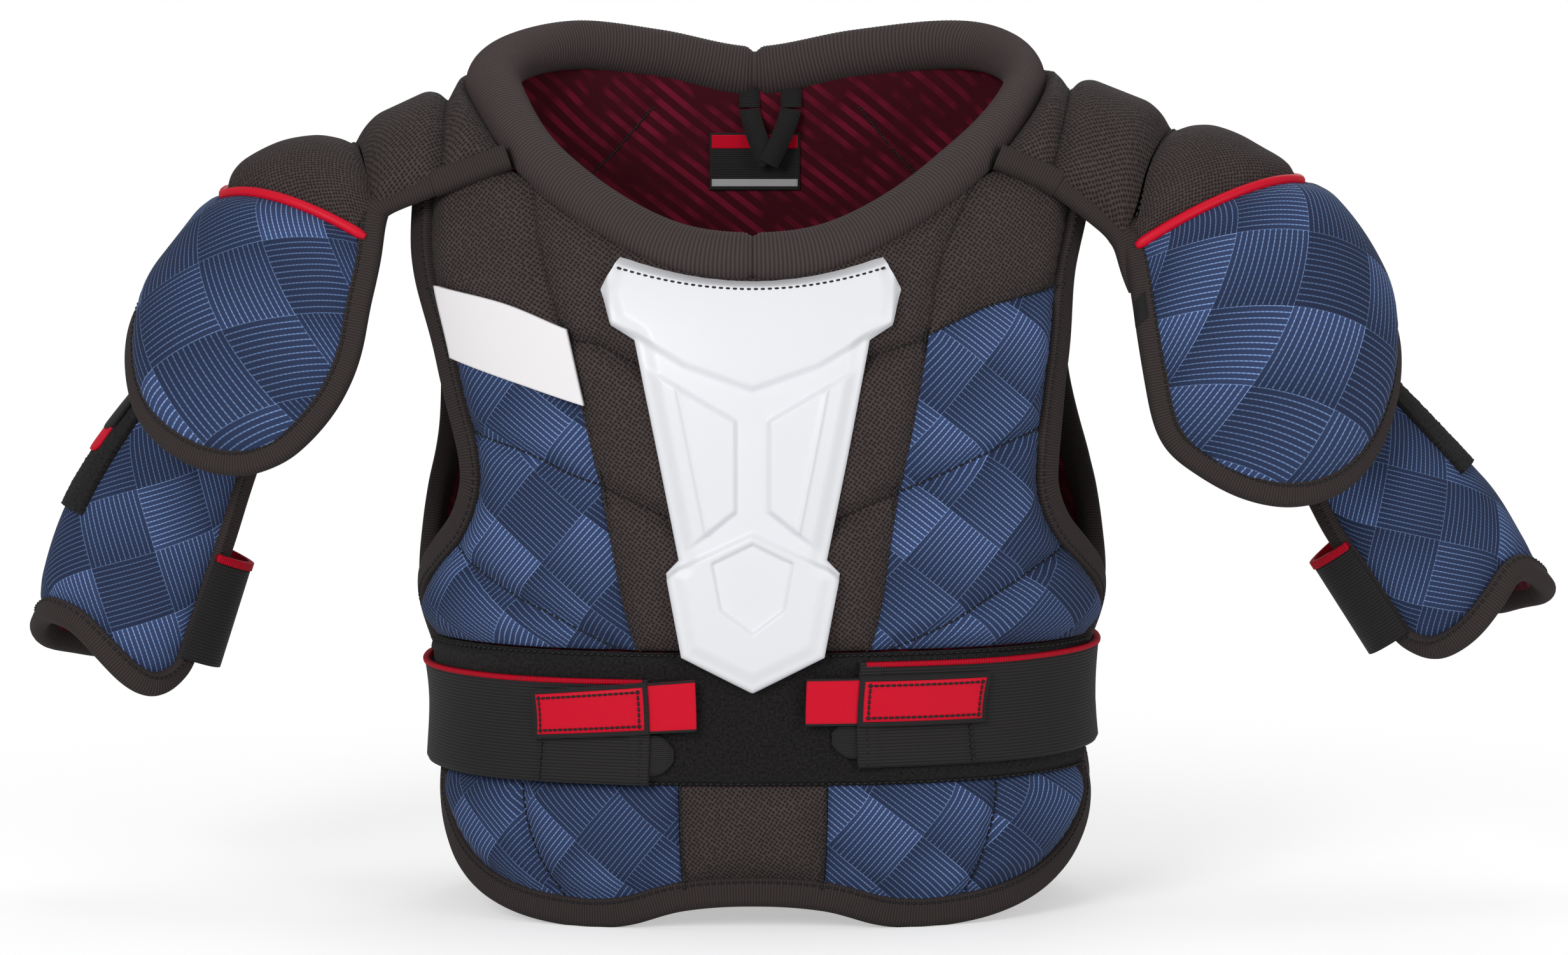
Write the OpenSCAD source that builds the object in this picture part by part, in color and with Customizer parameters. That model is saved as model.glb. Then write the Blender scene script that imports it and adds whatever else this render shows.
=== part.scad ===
// Youth ice hockey shoulder pads: a quilted front and back joined by a neck roll and two yokes,
// shoulder caps on flexing bridge pads, bicep wraps and two elastic belly straps.
// Left is the wearer's left (+X), the front faces -Y, the hems stand on z = 0. All sizes in mm.

/* [Torso] */
// Half width of the torso at the hem
hem_half_w = 146; // [134:1:158]
// Half width of the torso at the armhole's foot
waist_half_w = 157; // [145:1:169]
// Half width of the torso at the shoulders
shoulder_half_w = 164; // [152:1:176]
// How far the belly straps draw the waist in
strap_cinch = 5; // [0:0.5:6]
// Depth of the front face at the hem, from the torso's axis
belly_depth = 100; // [88:1:112]
// Depth of the front face at the chest
chest_depth = 108; // [96:1:120]
// Depth of the front face at the yoke seam
yoke_depth = 68; // [60:1:76]
// Depth of the back face at the hem
loin_depth = 92; // [80:1:104]
// Depth of the back face at the shoulder blades
back_depth = 98; // [86:1:110]
// Depth of the back face at the nape
nape_depth = 70; // [64:1:76]

/* [Padding] */
// Thickness of the foam-backed lining
lining_t = 4; // [3:0.5:6]
// Height of a pad over the lining at its crown
pad_crown = 9; // [7:0.5:11]
// Height of a pad over the lining at a seam
seam_t = 3; // [2:0.25:4]
// Radius of the rolled edge binding
binding_r = 4.5; // [3.5:0.25:5.5]
// Clearance between sewn layers
gap = 0.35; // [0.3:0.05:0.5]

/* [Belly band] */
// Height of the loop band's lower edge
band_low = 67; // [60:1:74]
// Width of the loop band
band_w = 61; // [54:1:64]
// Thickness of the loop band on its foam
band_t = 8.6; // [7:0.2:9]

/* [Belly straps] */
// Width of the elastic
strap_w = 48; // [40:1:50]
// Thickness of the elastic
strap_t = 2.4; // [1.6:0.2:3]
// Height of the left strap's lower edge
left_strap_low = 76; // [70:1:79]
// Height of the right strap's lower edge
right_strap_low = 68; // [66:1:74]
// Width of a pull tab
tab_w = 25; // [20:1:30]
// Thickness of a pull tab
tab_t = 1.6; // [1.2:0.2:2]

/* [Sternum guard] */
// Thickness of the guard at its rim
guard_t = 3; // [2:0.25:4]
// Rise of the guard's raised fields over its rim
guard_rise = 5; // [3:0.5:7]
// Half width of the guard at its widest
guard_half_w = 67; // [58:1:68]
// Height of the guard's tip
guard_low = 112; // [106:1:118]

/* [Neck roll] */
// Radius of the roll
collar_r = 11; // [8:0.25:12]
// Half width of the neck opening, to the roll's centre line
neck_half_w = 122; // [116:1:124]
// Height of the roll's centre line at the front
neck_front_z = 306; // [304:1:310]

/* [Shoulders] */
// Thickness of the yoke and bridge pads at their crown
yoke_t = 12; // [9:0.5:14]
// Thickness of a cap's foam at its crown
cap_pad_t = 8; // [6:0.5:10]
// Thickness of a cap's plastic insert
insert_t = 2; // [1.5:0.25:2.5]
// Thickness of a cap's lining
cap_lining_t = 1.5; // [1:0.25:2]
// Radius of the piping
piping_r = 2.4; // [1.8:0.1:2.8]
// Radius of a cap's rolled edge binding
cap_binding_r = 4.5; // [3.5:0.25:5]

/* [Biceps] */
// Length of a bicep wrap
bicep_len = 138; // [125:1:150]
// Radius of the wrap's outside at the top
bicep_top_r = 31; // [28:1:33]
// Radius of the wrap's outside at the foot
bicep_foot_r = 44; // [40:1:47]
// Thickness of the wrap's foam
bicep_pad_t = 9; // [7:0.5:10]
// Width of the bicep strap
bicep_strap_w = 46; // [36:1:50]

/* [Hanger] */
// Width of the hanger ribbon
ribbon_w = 9; // [7:0.5:10]
// Drop of the hanger loop
hanger_drop = 34; // [28:1:40]

/* [View] */
// Piece to draw

/* [Hidden] */

// levels of the torso that are not set by themselves
armhole_foot = 150;
bust_z = 190;
blade_z = 220;
shoulder_z = 330;
nape_z = 390;
roundness = 2.4;
cinch_z = 98;
band_high = band_low + band_w;
// height of the bindings' centre lines where the hems stand, cut flat half a millimetre deep
stand_z = binding_r - 0.5;

// edges of the front panel as [degrees round from the front centre, height], binding centre line
front_side = [[78.5, 60], [80, 90], [80, 124], [79.5, 148], [75, 160], [67.5, 170], [58.8, 183], [54.2, 198],
    [53.6, 213], [56, 240], [59, 268], [62.6, 296], [64.6, 310], [66, 322]];
front_hem = [[0, 15], [9.3, 12.5], [17.7, 6], [23.3, stand_z], [29.7, stand_z], [40, 6.5], [50, 11.5],
    [58.5, 18.5], [65.5, 27], [71.5, 37.5], [76, 48.5], [78.5, 60]];
// edges of the back panel, degrees counted from the back centre
back_side = [[84, 58], [86, 90], [86, 130], [85.4, 152], [82, 174], [77, 191], [71.5, 206], [67, 222],
    [63.6, 242], [61.6, 264], [60.4, 290], [58.8, 322], [54, 357]];
back_hem = [[0, 14], [11, 10], [21, stand_z], [30, stand_z], [43, 7], [58, 17], [72, 36], [84, 58]];
// seam between the chest pad and the side pads
chest_seam = [[17.5, 130], [21.2, 200], [24.7, 273], [31, 325]];

function clamp(v, a, b) = min(max(v, a), b);
function mix(a, b, t) = a + (b - a) * t;
function unit(v) = v / norm(v);
function spow(v, p) = sign(v) * pow(abs(v), p);

// Smooth curve through a list of points, t counted in points
function along(k, t) = let (n = len(k) - 1, i = clamp(floor(t), 0, n - 1), f = t - i, b = k[i], c = k[i + 1],
    a = i > 0 ? k[i - 1] : 2 * b - c, d = i + 2 <= n ? k[i + 2] : 2 * c - b)
    (2 * b + (c - a) * f + (2 * a - 5 * b + 4 * c - d) * f * f + (3 * b - a - 3 * c + d) * f * f * f) / 2;
function share(k, t) = along(k, t * (len(k) - 1));

// Height of a stuffed lobe: 0 at its two seams, 1 over the middle
function lobe(t) = pow(1 - pow(abs(2 * t - 1), 4), 0.6);
function lobes(t, n) = let (f = t * n - floor(t * n)) lobe(f);
// Places across n lobes, closer together by the seams, and closer all over where a lobe is wide
lobe_wide = [0, 0.06, 0.16, 0.33, 0.5, 0.67, 0.84, 0.94];
lobe_narrow = [0, 0.12, 0.5, 0.88];
function steps(n, wide = false) =
    concat([for (i = [0 : n - 1]) each [for (f = wide ? lobe_wide : lobe_narrow) (i + f) / n]], [1]);
function even(n) = [for (i = [0 : n]) i / n];

// The torso's section at a height and its surface: degrees round, height, distance outwards
function half_w(z) = let (t = clamp((z - armhole_foot) / (shoulder_z - armhole_foot), 0, 1))
    mix(z < armhole_foot ? mix(hem_half_w, waist_half_w, sin(90 * max(z, 0) / armhole_foot)) : waist_half_w,
        shoulder_half_w, t * t * (3 - 2 * t)) - strap_cinch * exp(-pow((z - cinch_z) / 45, 2));
function front_d(z) = z < bust_z ? mix(belly_depth, chest_depth, sin(90 * z / bust_z)) :
    chest_depth - (chest_depth - yoke_depth) * pow((z - bust_z) / (shoulder_z - bust_z), 3);
function back_d(z) = z < blade_z ? mix(loin_depth, back_depth, sin(90 * z / blade_z)) :
    back_depth - (back_depth - nape_depth) * pow((z - blade_z) / (nape_z - blade_z), 2);
function torso(a, z, d = 0) = let (w = half_w(z), f = cos(a) >= 0 ? front_d(z) : back_d(z),
    p = 2 / roundness, x = w * spow(sin(a), p), y = -f * spow(cos(a), p),
    n = unit([spow(x / w, roundness - 1) / w, spow(y / f, roundness - 1) / f]))
    [x + d * n[0], y + d * n[1], z];

// Neck roll: centre line of its left half, front centre to back centre
neck_line = [[0, -92, neck_front_z], [neck_half_w * 0.28, -87, neck_front_z + 4],
    [neck_half_w * 0.56, -71, 326], [neck_half_w * 0.8, -48, 348], [neck_half_w * 0.95, -18, 370],
    [neck_half_w, 10, 386], [neck_half_w * 0.92, 38, 397], [neck_half_w * 0.72, 59, 402],
    [neck_half_w * 0.39, 74, 397], [0, 80, 389]];
neck_split = 2.9;
neck_gap = gap / 40;
function mirrored_point(p) = [-p[0], p[1], p[2]];
neck_run = concat([mirrored_point(neck_line[1])], neck_line, [mirrored_point(neck_line[8])]);
function neck(t) = along(neck_run, t + 1);
function neck_dir(t) = unit(neck(t + 0.05) - neck(t - 0.05));
// Degrees round at a distance from the centre plane
function angle_at(x, z) = asin(spow(x / half_w(z), roundness / 2));
// The panel's edge under the roll: found in three passes, as the panel's place depends on the height
function under_roll(t, turned = 0, passes = 3, e = 0) = let (g = neck_dir(t),
    up = unit([0, 0, 1] - g * g[2]), q = neck(t) - sqrt(pow(collar_r + seat, 2) - e * e) * up,
    a = angle_at(q[0], q[2]),
    f = turned + a * cos(turned), o = torso(f, q[2]),
    out = [q[0] - o[0], q[1] - o[1], 0] * (torso(f, q[2], 1) - o))
    passes == 0 ? [a, q[2]] :
        under_roll(t, turned, passes - 1, clamp(max(out, -out - lining_t), 0, 0.9 * collar_r));

// A patch between four edges, each a list of [degrees, height]
function patch(b, t, l, r, u, v) = (1 - v) * share(b, u) + v * share(t, u) + (1 - u) * share(l, v)
    + u * share(r, v) - (1 - u) * (1 - v) * b[0] - u * (1 - v) * b[len(b) - 1]
    - (1 - u) * v * t[0] - u * v * t[len(t) - 1];
function flip(k) = [for (i = [len(k) - 1 : -1 : 0]) [-k[i][0], k[i][1]]];
// An edge and its mirror image as one edge across the centre
function both(k) = concat([for (i = [len(k) - 1 : -1 : 1]) [-k[i][0], k[i][1]]], k);
// An edge moved in from the binding's centre line
function moved(k, da, dz) = [for (p = k) [p[0] + da, p[1] + dz]];

// Solid between an outer and an inner grid of points
module slab(outer, inner) {
    nr = len(outer);
    nc = len(outer[0]);
    n = nr * nc;
    function q(a, b, c, d) = [[a, b, c], [a, c, d]];
    polyhedron(concat([for (r = outer) each r], [for (r = inner) each r]), concat(
        [for (i = [0 : nr - 2], j = [0 : nc - 2]) let (a = i * nc + j) each q(a, a + nc, a + nc + 1, a + 1)],
        [for (i = [0 : nr - 2], j = [0 : nc - 2]) let (a = n + i * nc + j)
            each q(a, a + 1, a + nc + 1, a + nc)],
        [for (j = [0 : nc - 2]) each q(j, j + 1, n + j + 1, n + j)],
        [for (j = [0 : nc - 2]) let (a = n - nc + j) each q(a + 1, a, n + a, n + a + 1)],
        [for (i = [0 : nr - 2]) let (a = i * nc + nc - 1) each q(a, a + nc, n + a + nc, n + a)],
        [for (i = [0 : nr - 2]) let (a = i * nc) each q(a + nc, a, n + a, n + a + nc)]));
}

// Rope along a path, its section an ellipse with one axis along the given normals.
// With lead = 1 the first and the last point only turn the end faces.
module rope(path, normals, ra, rb, sides = 8, lead = 0) {
    n = len(path) - 1;
    rings = [for (i = [lead : n - lead]) let (t = unit(path[min(i + 1, n)] - path[max(i - 1, 0)]),
        k = normals[i], nn = unit(k - t * (k * t)), b = cross(t, nn))
        [for (j = [0 : sides - 1]) let (f = 360 * j / sides) path[i] + ra * cos(f) * nn + rb * sin(f) * b]];
    m = len(rings) - 1;
    polyhedron([for (r = rings) each r], concat(
        [for (i = [0 : m - 1], j = [0 : sides - 1]) let (a = i * sides + j, b = i * sides + (j + 1) % sides)
            each [[a, a + sides, b + sides], [a, b + sides, b]]],
        [[for (j = [0 : sides - 1]) j]], [[for (j = [sides - 1 : -1 : 0]) m * sides + j]]));
}

// Quilted pad on the torso between four edges, with nu lobes across and nv lobes up
module pad(b, t, l, r, nu, nv, crown) {
    us = steps(nu, nu == 1);
    vs = steps(nv);
    slab([for (v = vs) [for (u = us) let (p = patch(b, t, l, r, u, v))
            torso(p[0], p[1], gap + seam_t + (crown - seam_t) * lobes(u, nu) * lobes(v, nv))]],
        [for (v = vs) [for (u = us) let (p = patch(b, t, l, r, u, v)) torso(p[0], p[1], seat)]]);
}
// Flat strip on the torso between four edges and two distances
module strip(b, t, l, r, us, vs, d0, d1) {
    slab([for (v = vs) [for (u = us) let (p = patch(b, t, l, r, u, v)) torso(p[0], p[1], d1)]],
        [for (v = vs) [for (u = us) let (p = patch(b, t, l, r, u, v)) torso(p[0], p[1], d0)]]);
}
module mirrored() mirror([1, 0, 0]) children();

// colours of the drawing
mesh_black = [0.2, 0.18, 0.17];
print_blue = [0.2, 0.27, 0.42];
lining_red = [0.42, 0.08, 0.14];
bright_red = [0.82, 0.1, 0.18];
plastic_white = [0.93, 0.93, 0.95];
strap_black = [0.1, 0.1, 0.1];

// an underside's flat facets bow in by up to the sag, so it is laid that much further out
sag = 0.5;
seat = gap + sag;
// degrees and millimetres that a panel's edge stays inside its binding's centre line
in_z = binding_r + 2 * gap;
in_a = in_z / 1.9;

// Front panel
side_in = [[75.2, 63], [76.8, 92], [76.8, 123], [75.8, 145.5], [71.3, 156.5], [63.6, 166.5], [55.2, 180.5],
    [50.8, 197.5], [50.3, 213.5], [52.7, 241], [55.7, 269], [59.3, 297], [62.6, 317]];
hem_in = [[0, 15 + in_z], [9.3, 12.5 + in_z], [18.2, 6.2 + in_z], [28.5, 4.2 + in_z], [39, 6.8 + in_z],
    [48.6, 12 + in_z], [56.6, 19 + in_z], [63.2, 28 + in_z], [68.8, 39 + in_z], [73, 51 + in_z], [75.2, 63]];
roll_stops = [0, 0.5, 1, 1.5, 2, 2.5];
top_in = concat([for (t = roll_stops) under_roll(t)], [[40, 332], [52, 330.5], [62.6, 317]]);
module front_lining() color(lining_red)
    strip(both(hem_in), both(top_in), flip([for (i = [len(side_in) - 1 : -1 : 0]) side_in[i]]), side_in,
        even(16), even(12), -lining_t, 0);
chest_top = [for (t = roll_stops) under_roll(t)];
module chest_pad() color(mesh_black)
    pad(both([[0, 130], [17.2, 130]]), both(chest_top),
        moved(flip([for (i = [3 : -1 : 0]) chest_seam[i]]), 0.4, 0), moved(chest_seam, -0.4, 0),
        1, 4, pad_crown);
module belly_centre_pad() color(mesh_black)
    pad(moved(both([[0, 15], [8.7, 12.7]]), 0, in_z + gap), [[-9.3, band_low - gap], [9.3, band_low - gap]],
        [[-8.7, 12.7 + in_z + gap], [-9.3, band_low - gap]],
        [[8.7, 12.7 + in_z + gap], [9.3, band_low - gap]],
        1, 1, pad_crown);
module rib_pad() pad([[17.9, band_high + 2], [76.4, band_high + 2]], [[25.1, 273], [58.2, 290]],
    [[17.9, band_high + 2], [20.4, 178], [22.8, 228], [25.1, 273]],
    [[76.4, band_high + 2], [75.4, 145], [67, 161.5], [56.2, 178], [50.8, 197], [50.3, 214], [52.6, 241],
        [55.4, 268], [58.2, 290]],
    1, 3, pad_crown);
module left_rib_pad() color(print_blue) rib_pad();
module right_rib_pad() color(print_blue) mirrored() rib_pad();
module shoulder_pad() pad([[25.4, 274.5], [58.4, 291.5]], [[31.7, 325.5], [42, 332], [52, 330], [62, 317]],
    [[25.4, 274.5], [31.7, 325.5]], [[58.4, 291.5], [62, 317]], 1, 1, pad_crown);
module left_shoulder_pad() color(mesh_black) shoulder_pad();
module right_shoulder_pad() color(mesh_black) mirrored() shoulder_pad();
belly_foot = [[9.2, 12.7], [18.2, 6.2], [28.5, 4.2], [39, 6.8], [48.6, 12], [56.6, 19], [63, 28]];
module belly_pad() pad([for (p = belly_foot)
        [p[0], p[1] + in_z + gap]], [[9.8, band_low - gap], [74.6, band_low - gap]],
    [[9.2, 12.7 + in_z + gap], [9.8, band_low - gap]],
    [[63, 28 + in_z + gap], [70.6, 48], [74.6, band_low - gap]], 2, 1, pad_crown);
module left_belly_pad() color(print_blue) belly_pad();
module right_belly_pad() color(print_blue) mirrored() belly_pad();
module loop_band() color(strap_black)
    strip([[-74.6, band_low], [74.6, band_low]], [[-76, band_high], [76, band_high]],
        [[-74.6, band_low], [-76, band_high]], [[74.6, band_low], [76, band_high]],
        even(18), even(3), seat, gap + band_t);
module front_binding() {
    run = concat([for (i = [len(front_side) - 1 : -1 : 1]) front_side[i]],
        [for (i = [len(front_hem) - 1 : -1 : 0]) front_hem[i]]);
    half = [for (t = [0 : 0.5 : len(run) - 1]) along(run, t)];
    n = len(half);
    line = concat(half, [for (i = [n - 2 : -1 : 0]) [-half[i][0], half[i][1]]]);
    color(mesh_black) intersection() {
        rope([for (p = line) torso(p[0], p[1], 0)],
            [for (p = line) torso(p[0], p[1], 1) - torso(p[0], p[1], 0)], binding_r, binding_r, 8);
        translate([-400, -400, 0]) cube(800);
    }
}

// Sternum guard: half width and rise by height over its tip
guard_rows = [[0, 3], [19, 32], [53, 38.5], [60, 33], [66, 32], [110, 42], [158, 51], [166, 64], [188, 67],
    [197, 62]];
guard_d = gap + pad_crown + seat;
function guard_w(h) = lookup(h, guard_rows) * guard_half_w / 67;
function guard_up(u, h) = abs(u) > 0.85 || h < 8 || h > 192 ? 0 :
    guard_rise * (h > 150 ? 0.7 : h > 62 ? (abs(u) < 0.2 ? 1 : 0.45) : 0.8);
module sternum_guard() {
    us = [-1, -0.86, -0.84, -0.5, -0.21, -0.19, 0, 0.19, 0.21, 0.5, 0.84, 0.86, 1];
    hs = [0, 7.9, 8.1, 19, 53, 60, 66, 110, 150, 158, 166, 188, 191.9, 192.1, 197];
    function at(u, h, d) = let (x = u * guard_w(h),
        z = guard_low + h - 17 * (1 - u * u) * pow(max(0, h - 120) / 77, 2), w = half_w(z) + guard_d)
        torso(asin(spow(x / w, roundness / 2)), z, d);
    color(plastic_white) slab([for (h = hs) [for (u = us) at(u, h, guard_d + guard_t + guard_up(u, h))]],
        [for (h = hs) [for (u = us) at(u, h, guard_d)]]);
}
// woven labels and patches
label_t = 0.8;
module chest_patch() color(plastic_white)
    strip([[-54.6, 259], [-24.3, 241]], [[-58.3, 292], [-26.7, 270.5]], [[-54.6, 259], [-58.3, 292]],
        [[-24.3, 241], [-26.7, 270.5]], even(5), even(2), guard_d, guard_d + label_t);

// Back panel
function turn(k) = [for (p = k) [180 + p[0], p[1]]];
back_side_in = [for (p = back_side) [p[0] - in_a * 1.15, p[1]]];
back_hem_in = [for (i = [0 : len(back_hem) - 1]) let (f = i / (len(back_hem) - 1))
    [back_hem[i][0] - in_a * 1.15 * f * f, back_hem[i][1] + in_z * 1.1 * (1 - f * f * f)]];
back_top = concat([for (t = [9, 8.5, 8, 7.5, 7]) under_roll(t, 180)], [[36, 386], [45, 374], [54, 357]]);
back_top_in = [for (i = [0 : len(back_top) - 1]) let (f = i / (len(back_top) - 1))
    [back_top[i][0] - in_a * 1.15 * f * f, back_top[i][1]]];
module back_lining() color(lining_red)
    strip(turn(both(back_hem_in)), turn(both(back_top_in)),
        turn([for (p = back_side_in) [-p[0], p[1]]]), turn(back_side_in), even(16), even(12), -lining_t, 0);
module back_centre_pad() color(mesh_black)
    pad(turn(both([[0, 14.6 + in_z], [10, 11 + in_z], [20, 7 + in_z + gap]])),
        turn(both([[0, 371], [10, 374], [20.4, 378]])),
        turn([[-20, 7 + in_z + gap], [-20.6, 120], [-21.6, 240], [-20.4, 378]]),
        turn([[20, 7 + in_z + gap], [20.6, 120], [21.6, 240], [20.4, 378]]), 1, 4, pad_crown);
module back_pad() pad(turn([[20.8, 7 + in_z], [32, 5.6 + in_z], [44, 9 + in_z], [58, 20 + in_z], [76, 54]]),
    turn([[21.2, 378], [32, 379], [46.5, 352]]),
    turn([[20.8, 7 + in_z], [21.4, 120], [22.4, 240], [21.2, 378]]),
    turn([[76, 54], [81.4, 90], [81.6, 130], [80.6, 152], [76.8, 174], [71.4, 192], [65.6, 208], [61.4, 224],
        [58.4, 244], [56.8, 268], [55.6, 296], [53, 322], [46.5, 352]]),
    1, 3, pad_crown);
module back_right_pad() color(print_blue) back_pad();
module back_left_pad() color(print_blue) mirrored() back_pad();
module spine_guard() color(mesh_black)
    strip(turn([[-9, 70], [9, 70]]), turn([[-13, 330], [13, 330]]),
        turn([[-9, 70], [-13, 330]]), turn([[9, 70], [13, 330]]), even(4), even(8),
        guard_d, guard_d + guard_t);
module back_binding() {
    run = concat([for (i = [len(back_side) - 1 : -1 : 1]) back_side[i]],
        [for (i = [len(back_hem) - 1 : -1 : 0]) back_hem[i]]);
    half = [for (t = [0 : 0.5 : len(run) - 1]) along(run, t)];
    n = len(half);
    line = concat(half, [for (i = [n - 2 : -1 : 0]) [-half[i][0], half[i][1]]]);
    color(mesh_black) intersection() {
        rope([for (p = line) torso(180 + p[0], p[1], 0)],
            [for (p = line) torso(180 + p[0], p[1], 1) - torso(180 + p[0], p[1], 0)],
            binding_r, binding_r, 8);
        translate([-400, -400, 0]) cube(800);
    }
}
module size_label() color(strap_black)
    strip(turn([[-5.2, 331], [5.2, 331]]), turn([[-5.2, 359], [5.2, 359]]), turn([[-5.2, 331], [-5.2, 359]]),
        turn([[5.2, 331], [5.2, 359]]), even(3), even(2), -lining_t - seat - label_t, -lining_t - seat);

// Neck roll
module collar(t0, t1, n) {
    step = (t1 - t0) / n;
    ts = [for (i = [-1 : n + 1]) t0 + i * step];
    rope([for (t = ts) neck(t)], [for (t = ts) let (p = neck(t)) [p[0], p[1], 0]],
        collar_r, collar_r, 10, 1);
}
module collar_front() collar(neck_gap, neck_split - neck_gap, 9);
module collar_rear() collar(neck_split + neck_gap, len(neck_line) - 1 - neck_gap, 16);
module collar_front_left() color(mesh_black) collar_front();
module collar_front_right() color(mesh_black) mirrored() collar_front();
module collar_rear_left() color(mesh_black) collar_rear();
module collar_rear_right() color(mesh_black) mirrored() collar_rear();

// Yoke and bridge: arches over the shoulder, s runs from the front (-1) to the back (1)
arch_psi = 78;
crease_x = neck_half_w + 30;
function arch(s) = [crease_x, 4 + 55 * sin(s * arch_psi), 376 - 48 * (1 - cos(s * arch_psi))];
function arch_n(s) = [0, sin(s * arch_psi), cos(s * arch_psi)];
// the yoke's inner edge follows the neck roll, a little under its centre line
yoke_drop = 7;
function yoke_in(s) = let (t = mix(3.05, 6.55, (s + 1) / 2), p = neck(t),
    g = neck(t + 0.05) - neck(t - 0.05), h = unit([g[1], -g[0], 0]))
    p + sqrt(pow(collar_r + gap, 2) - pow(yoke_drop - seam_t, 2)) * h - [0, 0, yoke_drop];
module saddle(a, b, crown) {
    ss = steps(1);
    cs = [-1, -0.86, -0.6, -0.3, 0, 0.3, 0.6, 0.86, 1];
    slab([for (v = ss) [for (s = cs) mix(a(s), b(s), v)
            + arch_n(s) * (seam_t + (crown - seam_t) * lobe(v) * sqrt(lobe((s + 1) / 2)))]],
        [for (v = ss) [for (s = cs) mix(a(s), b(s), v)]]);
}
module yoke() saddle(function (s) arch(s) - [gap, 0, 0], function (s) yoke_in(s), yoke_t * 0.75);
module left_yoke() color(mesh_black) yoke();
module right_yoke() color(mesh_black) mirrored() yoke();
// ribbed tape tab over the yoke's front end
module yoke_tab() {
    vs = [0.12, 0.5, 0.88];
    cs = [-1, -0.86, -0.6];
    function top(s, v) = seam_t + (yoke_t * 0.75 - seam_t) * lobe(v) * sqrt(lobe((s + 1) / 2));
    function at(s, v, d) = mix(arch(s) - [gap, 0, 0], yoke_in(s), v) + arch_n(s) * (top(s, v) + d);
    slab([for (v = vs) [for (s = cs) at(s, v, gap + tab_t)]], [for (v = vs) [for (s = cs) at(s, v, gap)]]);
}
module left_yoke_tab() color(mesh_black) yoke_tab();
module right_yoke_tab() color(mesh_black) mirrored() yoke_tab();

// Arms as posed: cap crease x, y, z, yaw to the front, lift, then bicep top x, y, z, lean and forward tilt
left_arm = [crease_x + 36, -4, 346, 13, 0, crease_x + 100, -6, 250, 38, 3];
right_arm = [crease_x + 30, -4, 346, 17, 2, crease_x + 92, -8, 247, 23, 3];
// Cap: crown line from the crease to the rim, line of its two edges, half width along it
cap_line = [[0, 0], [34, -2], [66, -17], [91, -48], [107, -92], [111, -146]];
cap_edge = [[-12, -26], [-3, -46], [5, -70], [13, -97], [20, -122], [32, -150]];
cap_w = [44, 52, 60, 66, 70, 70];
cap_psi = 85;
// where the rim lies along the centre line, from the front edge to the back edge
cap_rim = [3.8, 4.85, 4.95, 4.4, 3.6, 3.3, 3.1, 2.9, 2.7];
function rim(s) = share(cap_rim, (s + 1) / 2);
function pipe_line(s) = 2.1 - 1.3 * pow(abs(s), 1.2);
function cap_at(s, t, d, k) = let (c = along(cap_line, t), e = along(cap_edge, t), a = s * cap_psi,
    q = mix(c, e, (1 - cos(a)) / (1 - cos(cap_psi))) + unit(c - e) * d * cos(a),
    y = (share(cap_w, t / 5) + d) * sin(a),
    x = q[0] * cos(k[4]) - q[1] * sin(k[4]), z = q[0] * sin(k[4]) + q[1] * cos(k[4]))
    [k[0] + x * cos(k[3]) + y * sin(k[3]), k[1] - x * sin(k[3]) + y * cos(k[3]), k[2] + z];
// how far along s an edge stays inside the binding at a place on the centre line
function cap_in(t) = let (r = (share(cap_w, t / 5) + norm(along(cap_line, t) - along(cap_edge, t))) / 2)
    1 - (cap_binding_r + gap) / (r * cap_psi * PI / 180);
cap_d1 = cap_lining_t + seat;
cap_d2 = cap_d1 + insert_t + seat + sag;
cap_edge_t = 2.6;
pipe_in = (piping_r + gap) / 30;
rim_in = (cap_binding_r + gap) / 36;
cap_cols = [-1, -0.9, -0.7, -0.45, -0.2, 0.05, 0.3, 0.6, 0.88, 1];
function rim_at(s) = rim(s) - rim_in * sqrt(1 + pow((rim(s + 0.02) - rim(s - 0.02)) / 0.04 * 0.42, 2));
cap_start = 0.008;
function top_t(s, v) = mix(cap_start, pipe_line(s) - pipe_in, v);
function flap_t(s, v) = mix(pipe_line(s) + pipe_in, rim_at(s), v);
function cap_crown(c, v) = mix(cap_edge_t, cap_pad_t, lobe(v) * sqrt(lobe((c + 1) / 2)));
module cap_top(k) {
    vs = [1, 0.85, 0.5, 0.15, 0];
    function p(c, v, d) = let (s = c * cap_in(top_t(c, v))) cap_at(s, top_t(s, v), d, k);
    slab([for (v = vs) [for (c = cap_cols) p(c, v, cap_d2 + cap_crown(c, v))]],
        [for (v = vs) [for (c = cap_cols) p(c, v, cap_d2)]]);
}
module cap_flap(k) {
    vs = [1, 0.94, 0.82, 0.67, 0.5, 0.33, 0.18, 0.06, 0];
    function p(c, v, d) = let (s = c * cap_in(flap_t(c, v))) cap_at(s, flap_t(s, v), d, k);
    slab([for (v = vs) [for (c = cap_cols) p(c, v, cap_d2 + cap_crown(c, v))]],
        [for (v = vs) [for (c = cap_cols) p(c, v, cap_d2)]]);
}
module cap_sheet(k, d0, d1, t0, edge) {
    vs = [for (i = [9 : -1 : 0]) i / 9];
    function p(c, v, d) = let (s = c * cap_in(mix(t0, rim_at(c), v)) * edge)
        cap_at(s, mix(t0, rim_at(s), edge * v), d, k);
    slab([for (v = vs) [for (c = cap_cols) p(c, v, d1)]], [for (v = vs) [for (c = cap_cols) p(c, v, d0)]]);
}
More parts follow.
